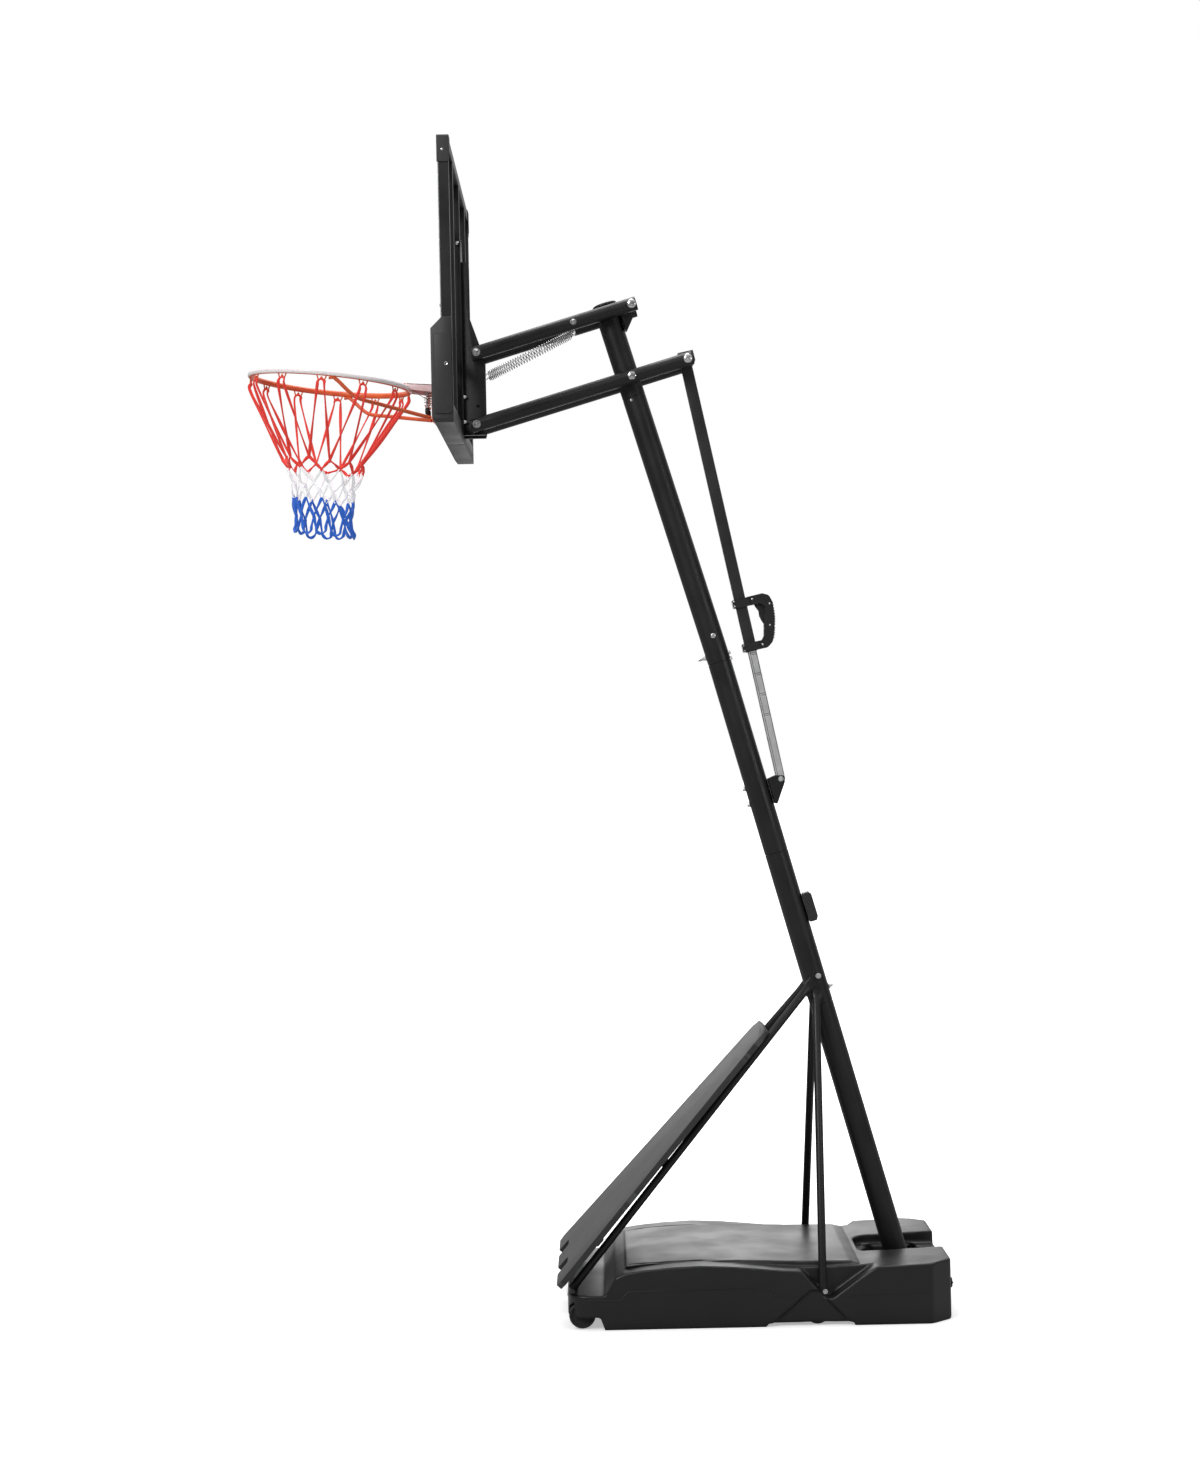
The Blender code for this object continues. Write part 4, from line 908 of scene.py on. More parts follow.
def handle():
    for name, side in SIDES:
        shell = bmesh.new()
        low, high = sorted((side * 0.0002, side * 0.0165))
        prism(shell, handle_outline(), low, high, STRUT_PLANE)
        seat = bmesh.new()
        block(seat, (0.70, -0.0184, -0.0184), (0.91, 0.0184, 0.0184), 0.0, 1, STRUT_PLANE)
        room = bmesh.new()
        points = [(0.7440, 0.026), (0.7440, 0.077), (0.770, 0.0792), (0.822, 0.073), (0.822, 0.026)]
        prism(room, points, -0.0072, 0.0072, STRUT_PLANE)
        parts = [("shell", shell, None)]
        for begin, finish in ((0.7245, 0.7500), (0.8585, 0.8835)):
            clamp = bmesh.new()
            ears = fillet([(begin, -0.0262), (begin, 0.024), (finish, 0.024), (finish, -0.0262)], 0.004)
            low, high = sorted((side * 0.009, side * 0.0240))
            prism(clamp, ears, low, high, STRUT_PLANE)
            parts.append(("clamp", clamp, "UNION"))
        parts += [("seat", seat, "DIFFERENCE"), ("room", room, "DIFFERENCE")]
        body, objects = solid_of(parts)
        bevelled(body, 0.0028, 50)
        mesh = baked(body, objects)
        nodes = (f"handle_shell_{name}",)
        keep_mesh(f"handle_half_{name}", mesh, HANDLE, "adjuster_tube", nodes)
    handle_ribs()
    bm = bmesh.new()
    spots = [(0.733, 0.034), (0.757, 0.082), (0.820, 0.0690), (0.872, 0.035)]
    clamp_spots = [(0.729, -0.0215), (0.744, -0.0215), (0.863, -0.0215), (0.879, -0.0215)]
    for _, side in SIDES:
        for down, back in spots:
            dome_head(bm, facing(on_strut(down, back, side * 0.0163), Y * side), 0.0030, 0.0012)
        for down, back in clamp_spots:
            dome_head(bm, facing(on_strut(down, back, side * 0.0238), Y * side), 0.0026, 0.0012)
    keep("handle_screws", bm, ZINC, "adjuster_tube")


def handle_ribs():
    """Raised grip ribs round the outer edge of the D."""
    edge = [(0.752, 0.0905), (0.775, 0.0905), (0.800, 0.0880), (0.840, 0.0783), (0.862, 0.0705)]
    path = smooth_path([Vector((x, y, 0)) for x, y in edge], 12)
    lengths = [0.0]
    for a, b in zip(path[:-1], path[1:]):
        lengths.append(lengths[-1] + (b - a).length)
    bm = bmesh.new()
    count = 14
    for k in range(count):
        wanted = lengths[-1] * (k + 0.5) / count
        i = next(n for n, total in enumerate(lengths) if total >= wanted)
        here, along = path[i], (path[i] - path[i - 1]).normalized()
        out = Vector((-along.y, along.x, 0))
        place = STRUT_PLANE @ Matrix.Translation(here) @ Matrix((along, out,
                                                                 along.cross(out))).transposed().to_4x4()
        block(bm, (-0.0020, -0.0030, -0.0135), (0.0020, 0.0022, 0.0135), 0.0012, 2, place)
    keep("handle_grip_ribs", bm, CAP, "adjuster_tube")


def trigger():
    points = [(0.7470, 0.0350), (0.760, 0.0400), (0.772, 0.0455), (0.786, 0.0440), (0.799, 0.0470),
              (0.812, 0.0520), (0.8145, 0.0575)]
    points += [(0.790, 0.0640), (0.770, 0.0700), (0.754, 0.0720), (0.7460, 0.068)]
    bm = bmesh.new()
    prism(bm, fillet(points, 0.004, 4), -0.0063, 0.0063, STRUT_PLANE, 0.0016, 3)
    keep("trigger_lever", bm, HANDLE, "trigger", ("trigger",))
    bm = bmesh.new()
    place = facing(on_strut(0.870, 0.0145), STRUT_BACK)
    lathe(bm, [(0, 0), (0.0034, 0), (0.0040, 0.0008), (0.0040, 0.030), (0, 0.0315)], place, 20)
    keep("latch_pin_rod", bm, ZINC, "latch_pin", ("latch_pin",))


# ---------------------------------------------------------------- backboard

FRAME_LOW, FRAME_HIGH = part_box("board_frame")
RAIL = 0.028
MULLIONS = (-0.330, 0.0, 0.330)


def board():
    low, high = FRAME_LOW, FRAME_HIGH
    bm = bmesh.new()
    loops = []
    for inset, x in ((0.0, low.x), (0.0, high.x), (RAIL, high.x), (RAIL, low.x)):
        ys, zs = (low.y + inset, high.y - inset), (low.z + inset, high.z - inset)
        loops.append([(x, ys[0], zs[0]), (x, ys[1], zs[0]), (x, ys[1], zs[1]), (x, ys[0], zs[1])])
    join_loops(bm, loops)
    edges = [e for e in bm.edges if e.calc_face_angle(0) > 0.5]
    bmesh.ops.bevel(bm, geom=edges, offset=0.0022, segments=3, affect="EDGES", profile=0.5)
    for y in MULLIONS:
        corner = (low.x + 0.0003, y - RAIL / 2, low.z + RAIL - 0.001)
        block(bm, corner, (high.x - 0.0003, y + RAIL / 2, high.z - RAIL + 0.001), 0.0022, 3)
    keep("board_frame_tubes", bm, STEEL, "board", ("board_frame",))
    low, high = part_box("board_panel")
    bm = bmesh.new()
    block(bm, low, high, 0.0008, 2)
    keep("board_clear_sheet", bm, board_sheet(low, high), "board", ("board_panel",))
    bm = bmesh.new()
    for y in (-0.541, -0.330, 0.0, 0.330, 0.541):
        for z in (2.90, 3.355) if abs(y) > 0.5 else (3.355,):
            dome_head(bm, facing(Vector((low.x, y, z)), -X), 0.0055, 0.0022)
    keep("board_sheet_screws", bm, ZINC, "board")


def corner_caps():
    for name, side in SIDES:
        low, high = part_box(f"corner_cap_{name}")
        outline = fillet(
            [
                (side * 0.5590, low.z, 0.003),
                (side * 0.5590, high.z, 0.010),
                (side * 0.492, high.z, 0.003),
                (side * 0.492, high.z - 0.0036, 0),
                (side * 0.5552, high.z - 0.0036, 0),
                (side * 0.5552, low.z, 0),
            ],
            0.003,
        )
        bm = bmesh.new()
        prism(bm, outline, low.x, high.x, YZ, 0.0008, 2)
        web = fillet([(side * 0.557, low.z + 0.004), (side * 0.557, high.z - 0.002),
                      (side * 0.500, high.z - 0.002)], 0.006)
        prism(bm, web, low.x - 0.0001, low.x + 0.0009, YZ)
        prism(bm, web, high.x - 0.0002, high.x + 0.0012, YZ)
        keep(f"corner_cap_moulding_{name}", bm, PAD, "board", (f"corner_cap_{name}",))
        bm = bmesh.new()
        dome_head(bm, facing(Vector((-0.826, side * 0.5590, 3.330)), Y * side), 0.0040, 0.0018)
        keep(f"corner_cap_screw_{name}", bm, ZINC, "board")


def edge_pads():
    """The two halves of the pad round the board's lower edge and corners."""
    front, back, low, top = -0.868, -0.8085, 2.572, 2.864
    for name, s in SIDES:
        body = bmesh.new()
        outline = [(s * 0.0040, low, 0.002), (s * 0.575, low, 0.012), (s * 0.575, top, 0.004),
                   (s * 0.515, top, 0.004)]
        outline += [(s * 0.515, 2.640, 0.010), (s * 0.068, 2.640, 0.006), (s * 0.068, 2.605, 0.004),
                    (s * 0.0040, 2.605, 0.002)]
        prism(body, fillet(outline, 0.004, 4), front, back, YZ)
        slot_cut = bmesh.new()
        block(slot_cut, (-0.8413, -0.5555, 2.5978), (-0.70, 0.5555, 3.0), 0.0)
        slope = bmesh.new()
        points = [(front - 0.01, top - 0.042), (front - 0.01, top + 0.02), (front + 0.052, top + 0.02)]
        lo, hi = sorted((-s * 0.4, -s * 0.7))
        prism(slope, points, lo, hi, XZ)
        lower = bmesh.new()
        points = [(front - 0.01, low + 0.026), (front - 0.01, low - 0.01), (front + 0.0173, low - 0.01)]
        prism(lower, points, -0.8, 0.8, XZ)
        cuts = [("board", slot_cut), ("slope", slope), ("lower", lower)]
        obj, objects = solid_of([("pad", body, None)] + [(*cut, "DIFFERENCE") for cut in cuts])
        bevelled(obj, 0.0040, 28)
        mesh = baked(obj, objects)
        keep_mesh(f"edge_pad_moulding_{name}", mesh, PAD, "board", (f"edge_pad_{name}",))
        bm = bmesh.new()
        raised = fillet([(-0.8600, 2.596), (-0.8110, 2.596), (-0.8110, 2.818), (-0.8600, 2.818)], 0.006, 5)
        lo, hi = sorted((-s * 0.5735, -s * 0.5790))
        prism(bm, raised, lo, hi, XZ, 0.0030, 3)
        keep(f"edge_pad_side_panel_{name}", bm, PAD, "board")
        bm = bmesh.new()
        spot = facing(Vector((-0.8265, s * 0.5790, 2.7335)), Y * s)
        lathe(bm, [(0.0022, 0.0), (0.0046, 0.0), (0.0050, 0.0010), (0.0042, 0.0016), (0.0026, 0.0012)],
              spot, 20, closed=True)
        keep(f"edge_pad_screw_{name}", bm, ZINC, "board")


def board_bracket():
    """The folded channel on the back of the board that both arm pairs are pinned to."""
    back = FRAME_HIGH.x + 0.0003
    bm = bmesh.new()
    flange = fillet([(-0.055, 2.600), (0.055, 2.600), (0.055, 3.125), (0.024, 3.178), (-0.024, 3.178),
                     (-0.055, 3.125)], 0.006)
    prism(bm, flange, back, back + 0.0030, YZ, 0.0006)
    outline = [(back, 2.594, 0), (-0.742, 2.594, 0.008), (-0.742, 2.823, 0.010), (-0.786, 2.950, 0.010),
               (-0.786, 3.110, 0.008), (back, 3.110, 0)]
    cheeks(bm, fillet(outline, 0.006), 0.037, 0.040, edge=0.0006)
    lip = [(-0.8065, 2.594), (-0.7440, 2.594), (-0.7440, 2.5962), (-0.8065, 2.5962)]
    cheeks(bm, lip, 0.038, 0.052, edge=0.0004)
    keep("board_bracket_channel", bm, STEEL, "board", ("board_bracket",))
    bm = bmesh.new()
    for _, side in SIDES:
        for z in (2.634, 2.708):
            spot = Vector((back + 0.0030, side * 0.0475, z))
            hex_head(bm, facing(spot, X), 0.0090, 0.0042, 0.0062)
            stud(bm, facing(spot + X * 0.006, X), 0.0028, 0.0035)
    spot = Vector((back - 0.0120, -0.0175, 3.1700))
    hex_head(bm, facing(spot, X), 0.0110, 0.0080, 0.0070)
    dome_head(bm, facing(spot - X * 0.0090, -X), 0.0030, 0.0030)
    keep("board_bracket_bolts", bm, ZINC, "board")
    # Near-black discs on the cheeks: painted shade where the holes are.
    bm = bmesh.new()
    for _, side in SIDES:
        spot = Vector((-0.7640, side * 0.0399, 2.6810))
        lathe(bm, [(0, 0), (0.0048, 0), (0.0048, 0.0004), (0, 0.0004)], facing(spot, Y * side), 20)
    keep("board_bracket_hole_shade", bm, HOLE_SHADE, "board")


# ---------------------------------------------------------------- rim and net


def ring():
    bm = bmesh.new()
    count = 144
    sweep(bm, [on_ring(360 * i / count) for i in range(count)], ROD_RADIUS, 20, loop=True, hint=RIM_UP)
    keep("rim_ring_rod", bm, ring_paint(), "rim", ("rim_ring",))
    hooks()
    deck()
    braces()


HOOKS = [30.0 * i for i in range(12)]


def hook_frame(angle):
    """The point under the ring at this angle, and the unit vectors along the ring and down."""
    here = on_ring(angle, RING_RADIUS - 0.001, ROD_RADIUS)
    along = (on_ring(angle + 0.5) - on_ring(angle - 0.5)).normalized()
    return here, along, -RIM_UP


def hooks():
    """A W of wire welded under the ring at each place where the net hangs."""
    bm = bmesh.new()
    for angle in HOOKS:
        here, along, down = hook_frame(angle)
        shape = [(-0.014, -0.002), (-0.0085, 0.0125), (-0.0045, 0.0125), (0.0, 0.003), (0.0045, 0.0125),
                 (0.0085, 0.0125), (0.014, -0.002)]
        path = smooth_path([here + along * a + down * d for a, d in shape], 4)
        sweep(bm, path, 0.0021, 8)
    keep("net_hooks", bm, ORANGE, "rim")


def spring_bolt(side, height):
    """A point on the axis of one of the two bolts that carry the breakaway springs."""
    return Vector((-0.9150, side * 0.030, height))


def deck():
    """The folded plate between the ring and the board, its hinge leaf and the two spring bolts under it."""
    slope = Matrix.Translation((-0.930, 0.0, 2.7490)) @ Matrix.Rotation(math.radians(4.0), 4, "Y")
    bm = bmesh.new()
    top = fillet([(-0.052, -0.055, 0.010), (0.0555, -0.055), (0.0555, 0.055), (-0.052, 0.055, 0.010)], 0.002)
    prism(bm, top, -0.0028, 0.0, slope, 0.0005)
    flange = fillet([(-0.050, -0.0010), (-0.050, -0.017), (0.0555, -0.024), (0.0555, -0.0010)], 0.004)
    cheeks(bm, flange, 0.0522, 0.0550, slope @ XZ, 0.0005)
    keep("rim_deck_plate", bm, deck_paint(), "rim", ("rim_plate",))
    bm = bmesh.new()
    knuckle = rounded_tube(0.0090, 0.0036, 0.091, 0.0006)
    lathe(bm, knuckle, facing(RIM_PIVOT - Y * 0.0455, Y), 28, closed=True)
    leaf = [(-0.0455, 2.6420), (0.0455, 2.6420), (0.0455, 2.7420), (-0.0455, 2.7420)]
    prism(bm, fillet(leaf, 0.003), -0.9012, -0.8985, YZ, 0.0005)
    keep("rim_hinge_leaf", bm, ORANGE, "rim")
    bm = bmesh.new()
    for _, side in SIDES:
        spot = spring_bolt(side, 2.7445)
        dome_head(bm, facing(spot + Z * 0.0035, Z), 0.0078, 0.0036)
        stud(bm, facing(spot - Z * 0.001, -Z), 0.0036, 0.070)
        hex_head(bm, facing(spot - Z * 0.0560, -Z), 0.0120, 0.0060, 0.0088)
    wire = vectors((-0.958, -0.046, 2.7285), (-0.935, -0.042, 2.7165), (-0.9120, -0.034, 2.7010))
    sweep(bm, wire, 0.0011, 8)
    keep("rim_spring_bolts", bm, ZINC, "rim")
    bm = bmesh.new()
    for _, side in SIDES:
        stop = [(0, 0), (0.0058, 0), (0.0068, 0.003), (0.0068, 0.015), (0.0045, 0.018), (0, 0.018)]
        lathe(bm, stop, facing(spring_bolt(side, 2.6790), -Z), 20)
    keep("rim_rubber_stops", bm, RUBBER, "rim")
    for name, side in SIDES:
        bm = bmesh.new()
        spot = spring_bolt(side, 2.7430)
        points = []
        turns, steps, radius, height = 7, 16, 0.0086, 0.050
        for i in range(turns * steps + 1):
            a = 2 * math.pi * i / steps
            around = (radius * math.cos(a), radius * math.sin(a), -height * i / (turns * steps))
            points.append(spot + Vector(around))
        sweep(bm, points, 0.0013, 8)
        keep(f"breakaway_coil_{name}", bm, SPRING, "rim", (f"breakaway_spring_{name}",))


def deck_paint():
    """Orange-red paint with a painted highlight: pale pink on the deck's outward flanges, which face
    sideways.
    """
    made = Nodes("deck_paint", (0.74, 0.10, 0.030), 0.35)
    split = made.node("SeparateXYZ")
    made.link(made.normal(), split.inputs[0])
    # Mask of the painted highlight: surfaces that face sideways, as the flanges do.
    outward = made.ramp(made.math("ABSOLUTE", split.outputs["Y"]), 0.75, 0.95)
    pale = made.mix(made.ramp(made.noise(60.0), 0.3, 0.7), (0.78, 0.52, 0.52), (0.84, 0.64, 0.64))
    made.to_shader(made.mix(outward, (0.62, 0.08, 0.035), pale), "Base Color")
    made.bump(made.noise(800.0, 2.0), 0.12, 0.0004)
    return made.material


def braces():
    """The bent rods from the sides of the ring down to the hinge."""
    for name, side in SIDES:
        angle = 8.5
        start = on_ring(angle - 3.5, RING_RADIUS - 0.002, ROD_RADIUS + 0.0050)
        pressed = on_ring(angle + 1.5, RING_RADIUS - 0.003, ROD_RADIUS + 0.0052)
        points = [start, pressed, *vectors((-1.128, -0.208, 2.708), (-1.100, -0.190, 2.6905))]
        points += vectors((-1.050, -0.150, 2.6800), (-0.960, -0.078, 2.6610), (-0.906, -0.0345, 2.6500))
        path = smooth_path(mirrored(points, -side), 6)
        bm = bmesh.new()
        sections = [(0.0040, 0.0072) if i < 6 else (0.0058, 0.0058) for i in range(len(path))]
        sweep(bm, path, sections, 16)
        keep(f"rim_brace_rod_{name}", bm, ORANGE, "rim", (f"rim_brace_{name}",))


def rim_mount():
    low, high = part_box("rim_mount")
    bm = bmesh.new()
    block(bm, (high.x - 0.0030, low.y, low.z), (high.x, high.y, high.z), 0.0012, 2)
    outline = [(high.x, low.z + 0.004), (-0.872, low.z + 0.006), (-0.898, 2.640), (-0.898, 2.650)]
    outline += [(-0.872, 2.690), (-0.872, high.z - 0.006), (high.x, high.z - 0.004)]
    cheeks(bm, fillet(outline, 0.005), 0.0465, 0.0515, edge=0.0006)
    block(bm, (-0.8720, -0.0480, 2.700), (-0.8692, 0.0480, high.z - 0.006), 0.0008, 2)
    keep("rim_mount_channel", bm, STEEL, "board", ("rim_mount",))
    bm = bmesh.new()
    for _, side in SIDES:
        for z in (low.z + 0.016, high.z - 0.016):
            hex_head(bm, facing(Vector((high.x - 0.003, side * 0.0575, z)), -X), 0.0085, 0.0040, 0.0060)
    shank(bm, RIM_PIVOT, 0.0540, 0.0050)
    dome_head(bm, facing(RIM_PIVOT - Y * 0.0520, -Y), 0.0082, 0.0045)
    hex_head(bm, facing(RIM_PIVOT + Y * 0.0520, Y), 0.0120, 0.0050, 0.0082)
    keep("rim_mount_bolts", bm, ZINC, "board", ("rim_pivot_pin",))


NET_ROWS = (  # distance below the ring, radius
    (0.235, 0.1240),
    (0.264, 0.1130),
    (0.308, 0.0930),
    (0.352, 0.0880),
    (0.404, 0.0840),
    (0.456, 0.0900),
)


NET_COLOURS = {  # dark and light of each cord
    "red": ((0.62, 0.028, 0.020), (0.90, 0.075, 0.055)),
    "white": ((0.84, 0.84, 0.86), (0.95, 0.95, 0.96)),
    "blue": ((0.018, 0.085, 0.42), (0.040, 0.180, 0.72)),
}


def net():
    """Twelve cords looped over the hooks and knotted into diamonds, in three bands of colour."""
    draw = random.Random(11)
    rows = []
    for row, (drop, radius) in enumerate(NET_ROWS):
        points = []
        for i in range(12):
            angle = HOOKS[i] + (15.0 if row % 2 == 0 else 0.0) + draw.uniform(-3.0, 3.0)
            grow = 1.0 + draw.uniform(-0.06, 0.05)
            points.append(on_ring(angle, radius * grow,
                                  drop + draw.uniform(-0.006, 0.006)) + X * 0.020 * row / 5)
        rows.append(points)
    red, white, blue = bmesh.new(), bmesh.new(), bmesh.new()
    for i in range(12):
        here, along, down = hook_frame(HOOKS[i])
        before, after = rows[0][i - 1], rows[0][i]
        inward = (RIM_CENTRE - here).normalized()
        bight = ((-0.0105, 0.032), (-0.0090, 0.0150), (0.0, 0.0100), (0.0090, 0.0150), (0.0105, 0.032))
        loop = [here + along * a + down * d for a, d in bight]
        left = bow(loop[0], before, -inward * 0.002, draw)
        right = bow(loop[-1], after, -inward * 0.002, draw)
        path = smooth_path(list(reversed(left[1:])) + loop + right[1:], 4)
        strand(red, path, draw)
    zigzag(red, rows[0], rows[1], 0, draw)
    zigzag(white, rows[1], rows[2], 1, draw)
    zigzag(white, rows[2], rows[3], 0, draw)
    zigzag(blue, rows[3], rows[4], 1, draw)
    for i in range(12):
        left, right, low = rows[4][i - 1], rows[4][i], rows[5][i]
        side = (right - left).normalized()
        swing = RIM_UP * 0.016
        points = [left, left.lerp(low, 0.55) - side * 0.006, low - side * 0.013 + swing * 0.5, low]
        points += [low + side * 0.013 + swing * 0.5, right.lerp(low, 0.55) + side * 0.006, right]
        strand(blue, smooth_path(points, 5), draw, 1.1)
    for bm, row in ((red, 0), (red, 1), (white, 2), (white, 3), (blue, 3), (blue, 4)):
        for point in rows[row]:
            knot(bm, point + RIM_UP * draw.uniform(-0.002, 0.002), draw)
    for bm, (colour, (dark, light)) in zip((red, white, blue), NET_COLOURS.items()):
        nodes = ("net",) if colour == "red" else ()
        keep(f"net_{colour}_cords", bm, cord(f"{colour}_cord", dark, light), "rim", nodes, 80)


def bow(start, end, push, draw):
    """A few points from start to end, pushed out along the way and slightly irregular."""
    points = []
    for t in (0.0, 0.33, 0.66, 1.0):
        lift = math.sin(math.pi * t) * (1.0 + draw.uniform(-0.3, 0.3))
        points.append(start.lerp(end, t) + push * lift)
    return points


def strand(bm, path, draw, scale=1.0):
    """A flat cord whose width changes as it turns over."""
    phase = draw.uniform(0, 6.28)
    sections = []
    for i in range(len(path)):
        turn = math.sin(phase + i * 0.55)
        sections.append((scale * (0.0036 + 0.0012 * turn), scale * (0.0032 - 0.0012 * turn)))
    sweep(bm, path, sections, 8)


def zigzag(bm, upper, lower, shift, draw):
    """Cords from every knot of one row to its two neighbours in the next."""
    for i in range(12):
        for j in ((i, i + 1) if shift == 0 else (i - 1, i)):
            a, b = upper[i], lower[j % 12]
            out = (a + b) / 2 - (RIM_CENTRE - RIM_UP * 0.3)
            out = (out - RIM_UP * out.dot(RIM_UP)).normalized()
            strand(bm, smooth_path(bow(a, b, out * 0.004, draw), 3), draw, 1.05)


def knot(bm, point, draw):
    """A small tight knot."""
    turn = Matrix.Rotation(draw.uniform(0, 3.1), 4, "Z")
    place = Matrix.Translation(point) @ turn @ Matrix.Diagonal((0.0046, 0.0042, 0.0068, 1.0))
    bmesh.ops.create_icosphere(bm, subdivisions=2, radius=1.0, matrix=place)


# ---------------------------------------------------------------- struts and guard panel


STRUT_ROUTES = (  # name, flattened top, foot, flattened end, half the end's width
    (
        "front",
        ((0.197, 0.0425, 0.956), (0.183, 0.0430, 0.940), (0.172, 0.0475, 0.928), (0.160, 0.0540, 0.914)),
        (-0.522, 0.268, 0.121),
        ((-0.529, 0.271, 0.111), (-0.534, 0.272, 0.103)),
        0.0150,
    ),
    (
        "rear",
        ((0.2085, 0.0425, 0.930), (0.2070, 0.0430, 0.915), (0.2050, 0.0470, 0.902), (0.2020, 0.0540, 0.885)),
        (0.182, 0.328, 0.128),
        ((0.1815, 0.3335, 0.112), (0.1812, 0.3350, 0.100)),
        0.0145,
    ),
)


def struts():
    round_tube, pressed, flat = (0.0115, 0.0115), (0.0128, 0.0060), (0.0150, 0.0026)
    for row, top, foot, end, end_width in STRUT_ROUTES:
        sizes = [flat, flat, pressed, round_tube, round_tube, round_tube, (0.0125, 0.006),
                 (end_width, 0.0026)]
        route = vectors(*top)
        route += [route[-1].lerp(Vector(foot), 0.5), Vector(foot), *vectors(*end)]
        for name, side in SIDES:
            bm = bmesh.new()
            sweep(bm, mirrored(route, side), sizes, 24, hint=Y)
            keep(f"{row}_strut_tube_{name}", bm, STEEL, "stand", (f"{row}_strut_{name}",))
    bm = bmesh.new()
    spot = pole_at(0.966, 0.012)
    shank(bm, spot, 0.0450)
    hex_head(bm, facing(spot - Y * 0.0450, -Y), 0.0110, 0.0050, 0.0082)
    hex_head(bm, facing(spot + Y * 0.0450, Y), 0.0110, 0.0050, 0.0082)
    keep("strut_top_bolt", bm, ZINC, "stand", ("strut_bolt",))
    bm = bmesh.new()
    for _, side in SIDES:
        for x, z in ((0.1880, 0.0950), (0.1750, 0.0785)):
            hex_head(bm, facing(Vector((x, side * 0.3378, z)), Y * side), 0.0095, 0.0040, 0.0070)
    keep("strut_foot_bolts", bm, ZINC, "stand")


def guard_panel():
    slope = (PANEL_HIGH - PANEL_LOW).normalized()
    outward = slope.cross(Y)
    place = Matrix.Translation(PANEL_LOW) @ Matrix((slope, Y, outward)).transposed().to_4x4()
    length = (PANEL_HIGH - PANEL_LOW).length
    low_half, high_half = 0.350, 0.150
    half = [(0.0, 0.0), (0.0, 0.090, 0.005), (0.045, 0.090, 0.008), (0.045, 0.175, 0.008),
            (0.0, 0.175, 0.005)]
    half += [(0.0, low_half, 0.020), (length, high_half, 0.055)]
    outline = half[1:] + [(x, -y, *r) for x, y, *r in reversed(half[1:])]
    bm = bmesh.new()
    prism(bm, fillet(outline, 0.01, 8), -0.0170, 0.0, Matrix.Identity(4), 0.0050, 4)
    for v in bm.verts:
        across = abs(v.co.y) / low_half
        v.co.z += 0.004 * (1 - across * across) * math.sin(math.pi * min(1.0, max(0.0, v.co.x / length)))
    mesh = bpy.data.meshes.new("guard_panel_sheet")
    bmesh.ops.recalc_face_normals(bm, faces=bm.faces)
    bm.to_mesh(mesh)
    bm.free()
    obj = keep_mesh("guard_panel_sheet", mesh, pixel_panel(), None, ("guard_panel",))
    obj.matrix_world = place
    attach(obj, "stand")
    bm = bmesh.new()
    for _, side in SIDES:
        for along in (0.16, 0.45, 0.74):
            y = side * (0.262 - 0.215 * (along / length))
            block(bm, (along - 0.014, y - 0.016, -0.0300), (along + 0.014, y + 0.016, -0.0165), 0.003, 3,
                  place)
    keep("guard_panel_clips", bm, CAP, "stand")


# ---------------------------------------------------------------- base


def base_outline(grow=0.0):
    half, front, rear = 0.355 + grow, -0.548 - grow, 0.554 + grow
    points = [(rear, 0.292 + grow, 0.020), (0.491 + grow, half, 0.020), (front, half, 0.070)]
    return fillet(points + [(x, -y, r) for x, y, r in reversed(points)], 0.02, 8)


def side_prism(points, low, high):
    bm = bmesh.new()
    prism(bm, points, low, high, XZ)
    return bm


SEAM = ((-0.545, 0.088), (-0.397, 0.085), (-0.376, 0.109), (0.029, 0.111), (0.046, 0.086), (0.119, 0.085))
SIDE_CROWN = ((-0.442, 0.098), (-0.428, 0.118), (-0.411, 0.148), (-0.385, 0.160), (-0.330, 0.168),
              (-0.250, 0.175))
SIDE_CROWN += ((-0.169, 0.178), (-0.080, 0.174), (0.0, 0.167), (0.060, 0.161), (0.115, 0.158), (0.190, 0.157))
REAR_CROWN = ((0.286, 0.161), (0.3345, 0.166), (0.389, 0.168), (0.490, 0.172), (0.60, 0.177))
UNDERSIDE = ((0.60, 0.0), (-0.443, 0.0), (-0.456, 0.036), (-0.60, 0.036), (-0.60, 0.098))


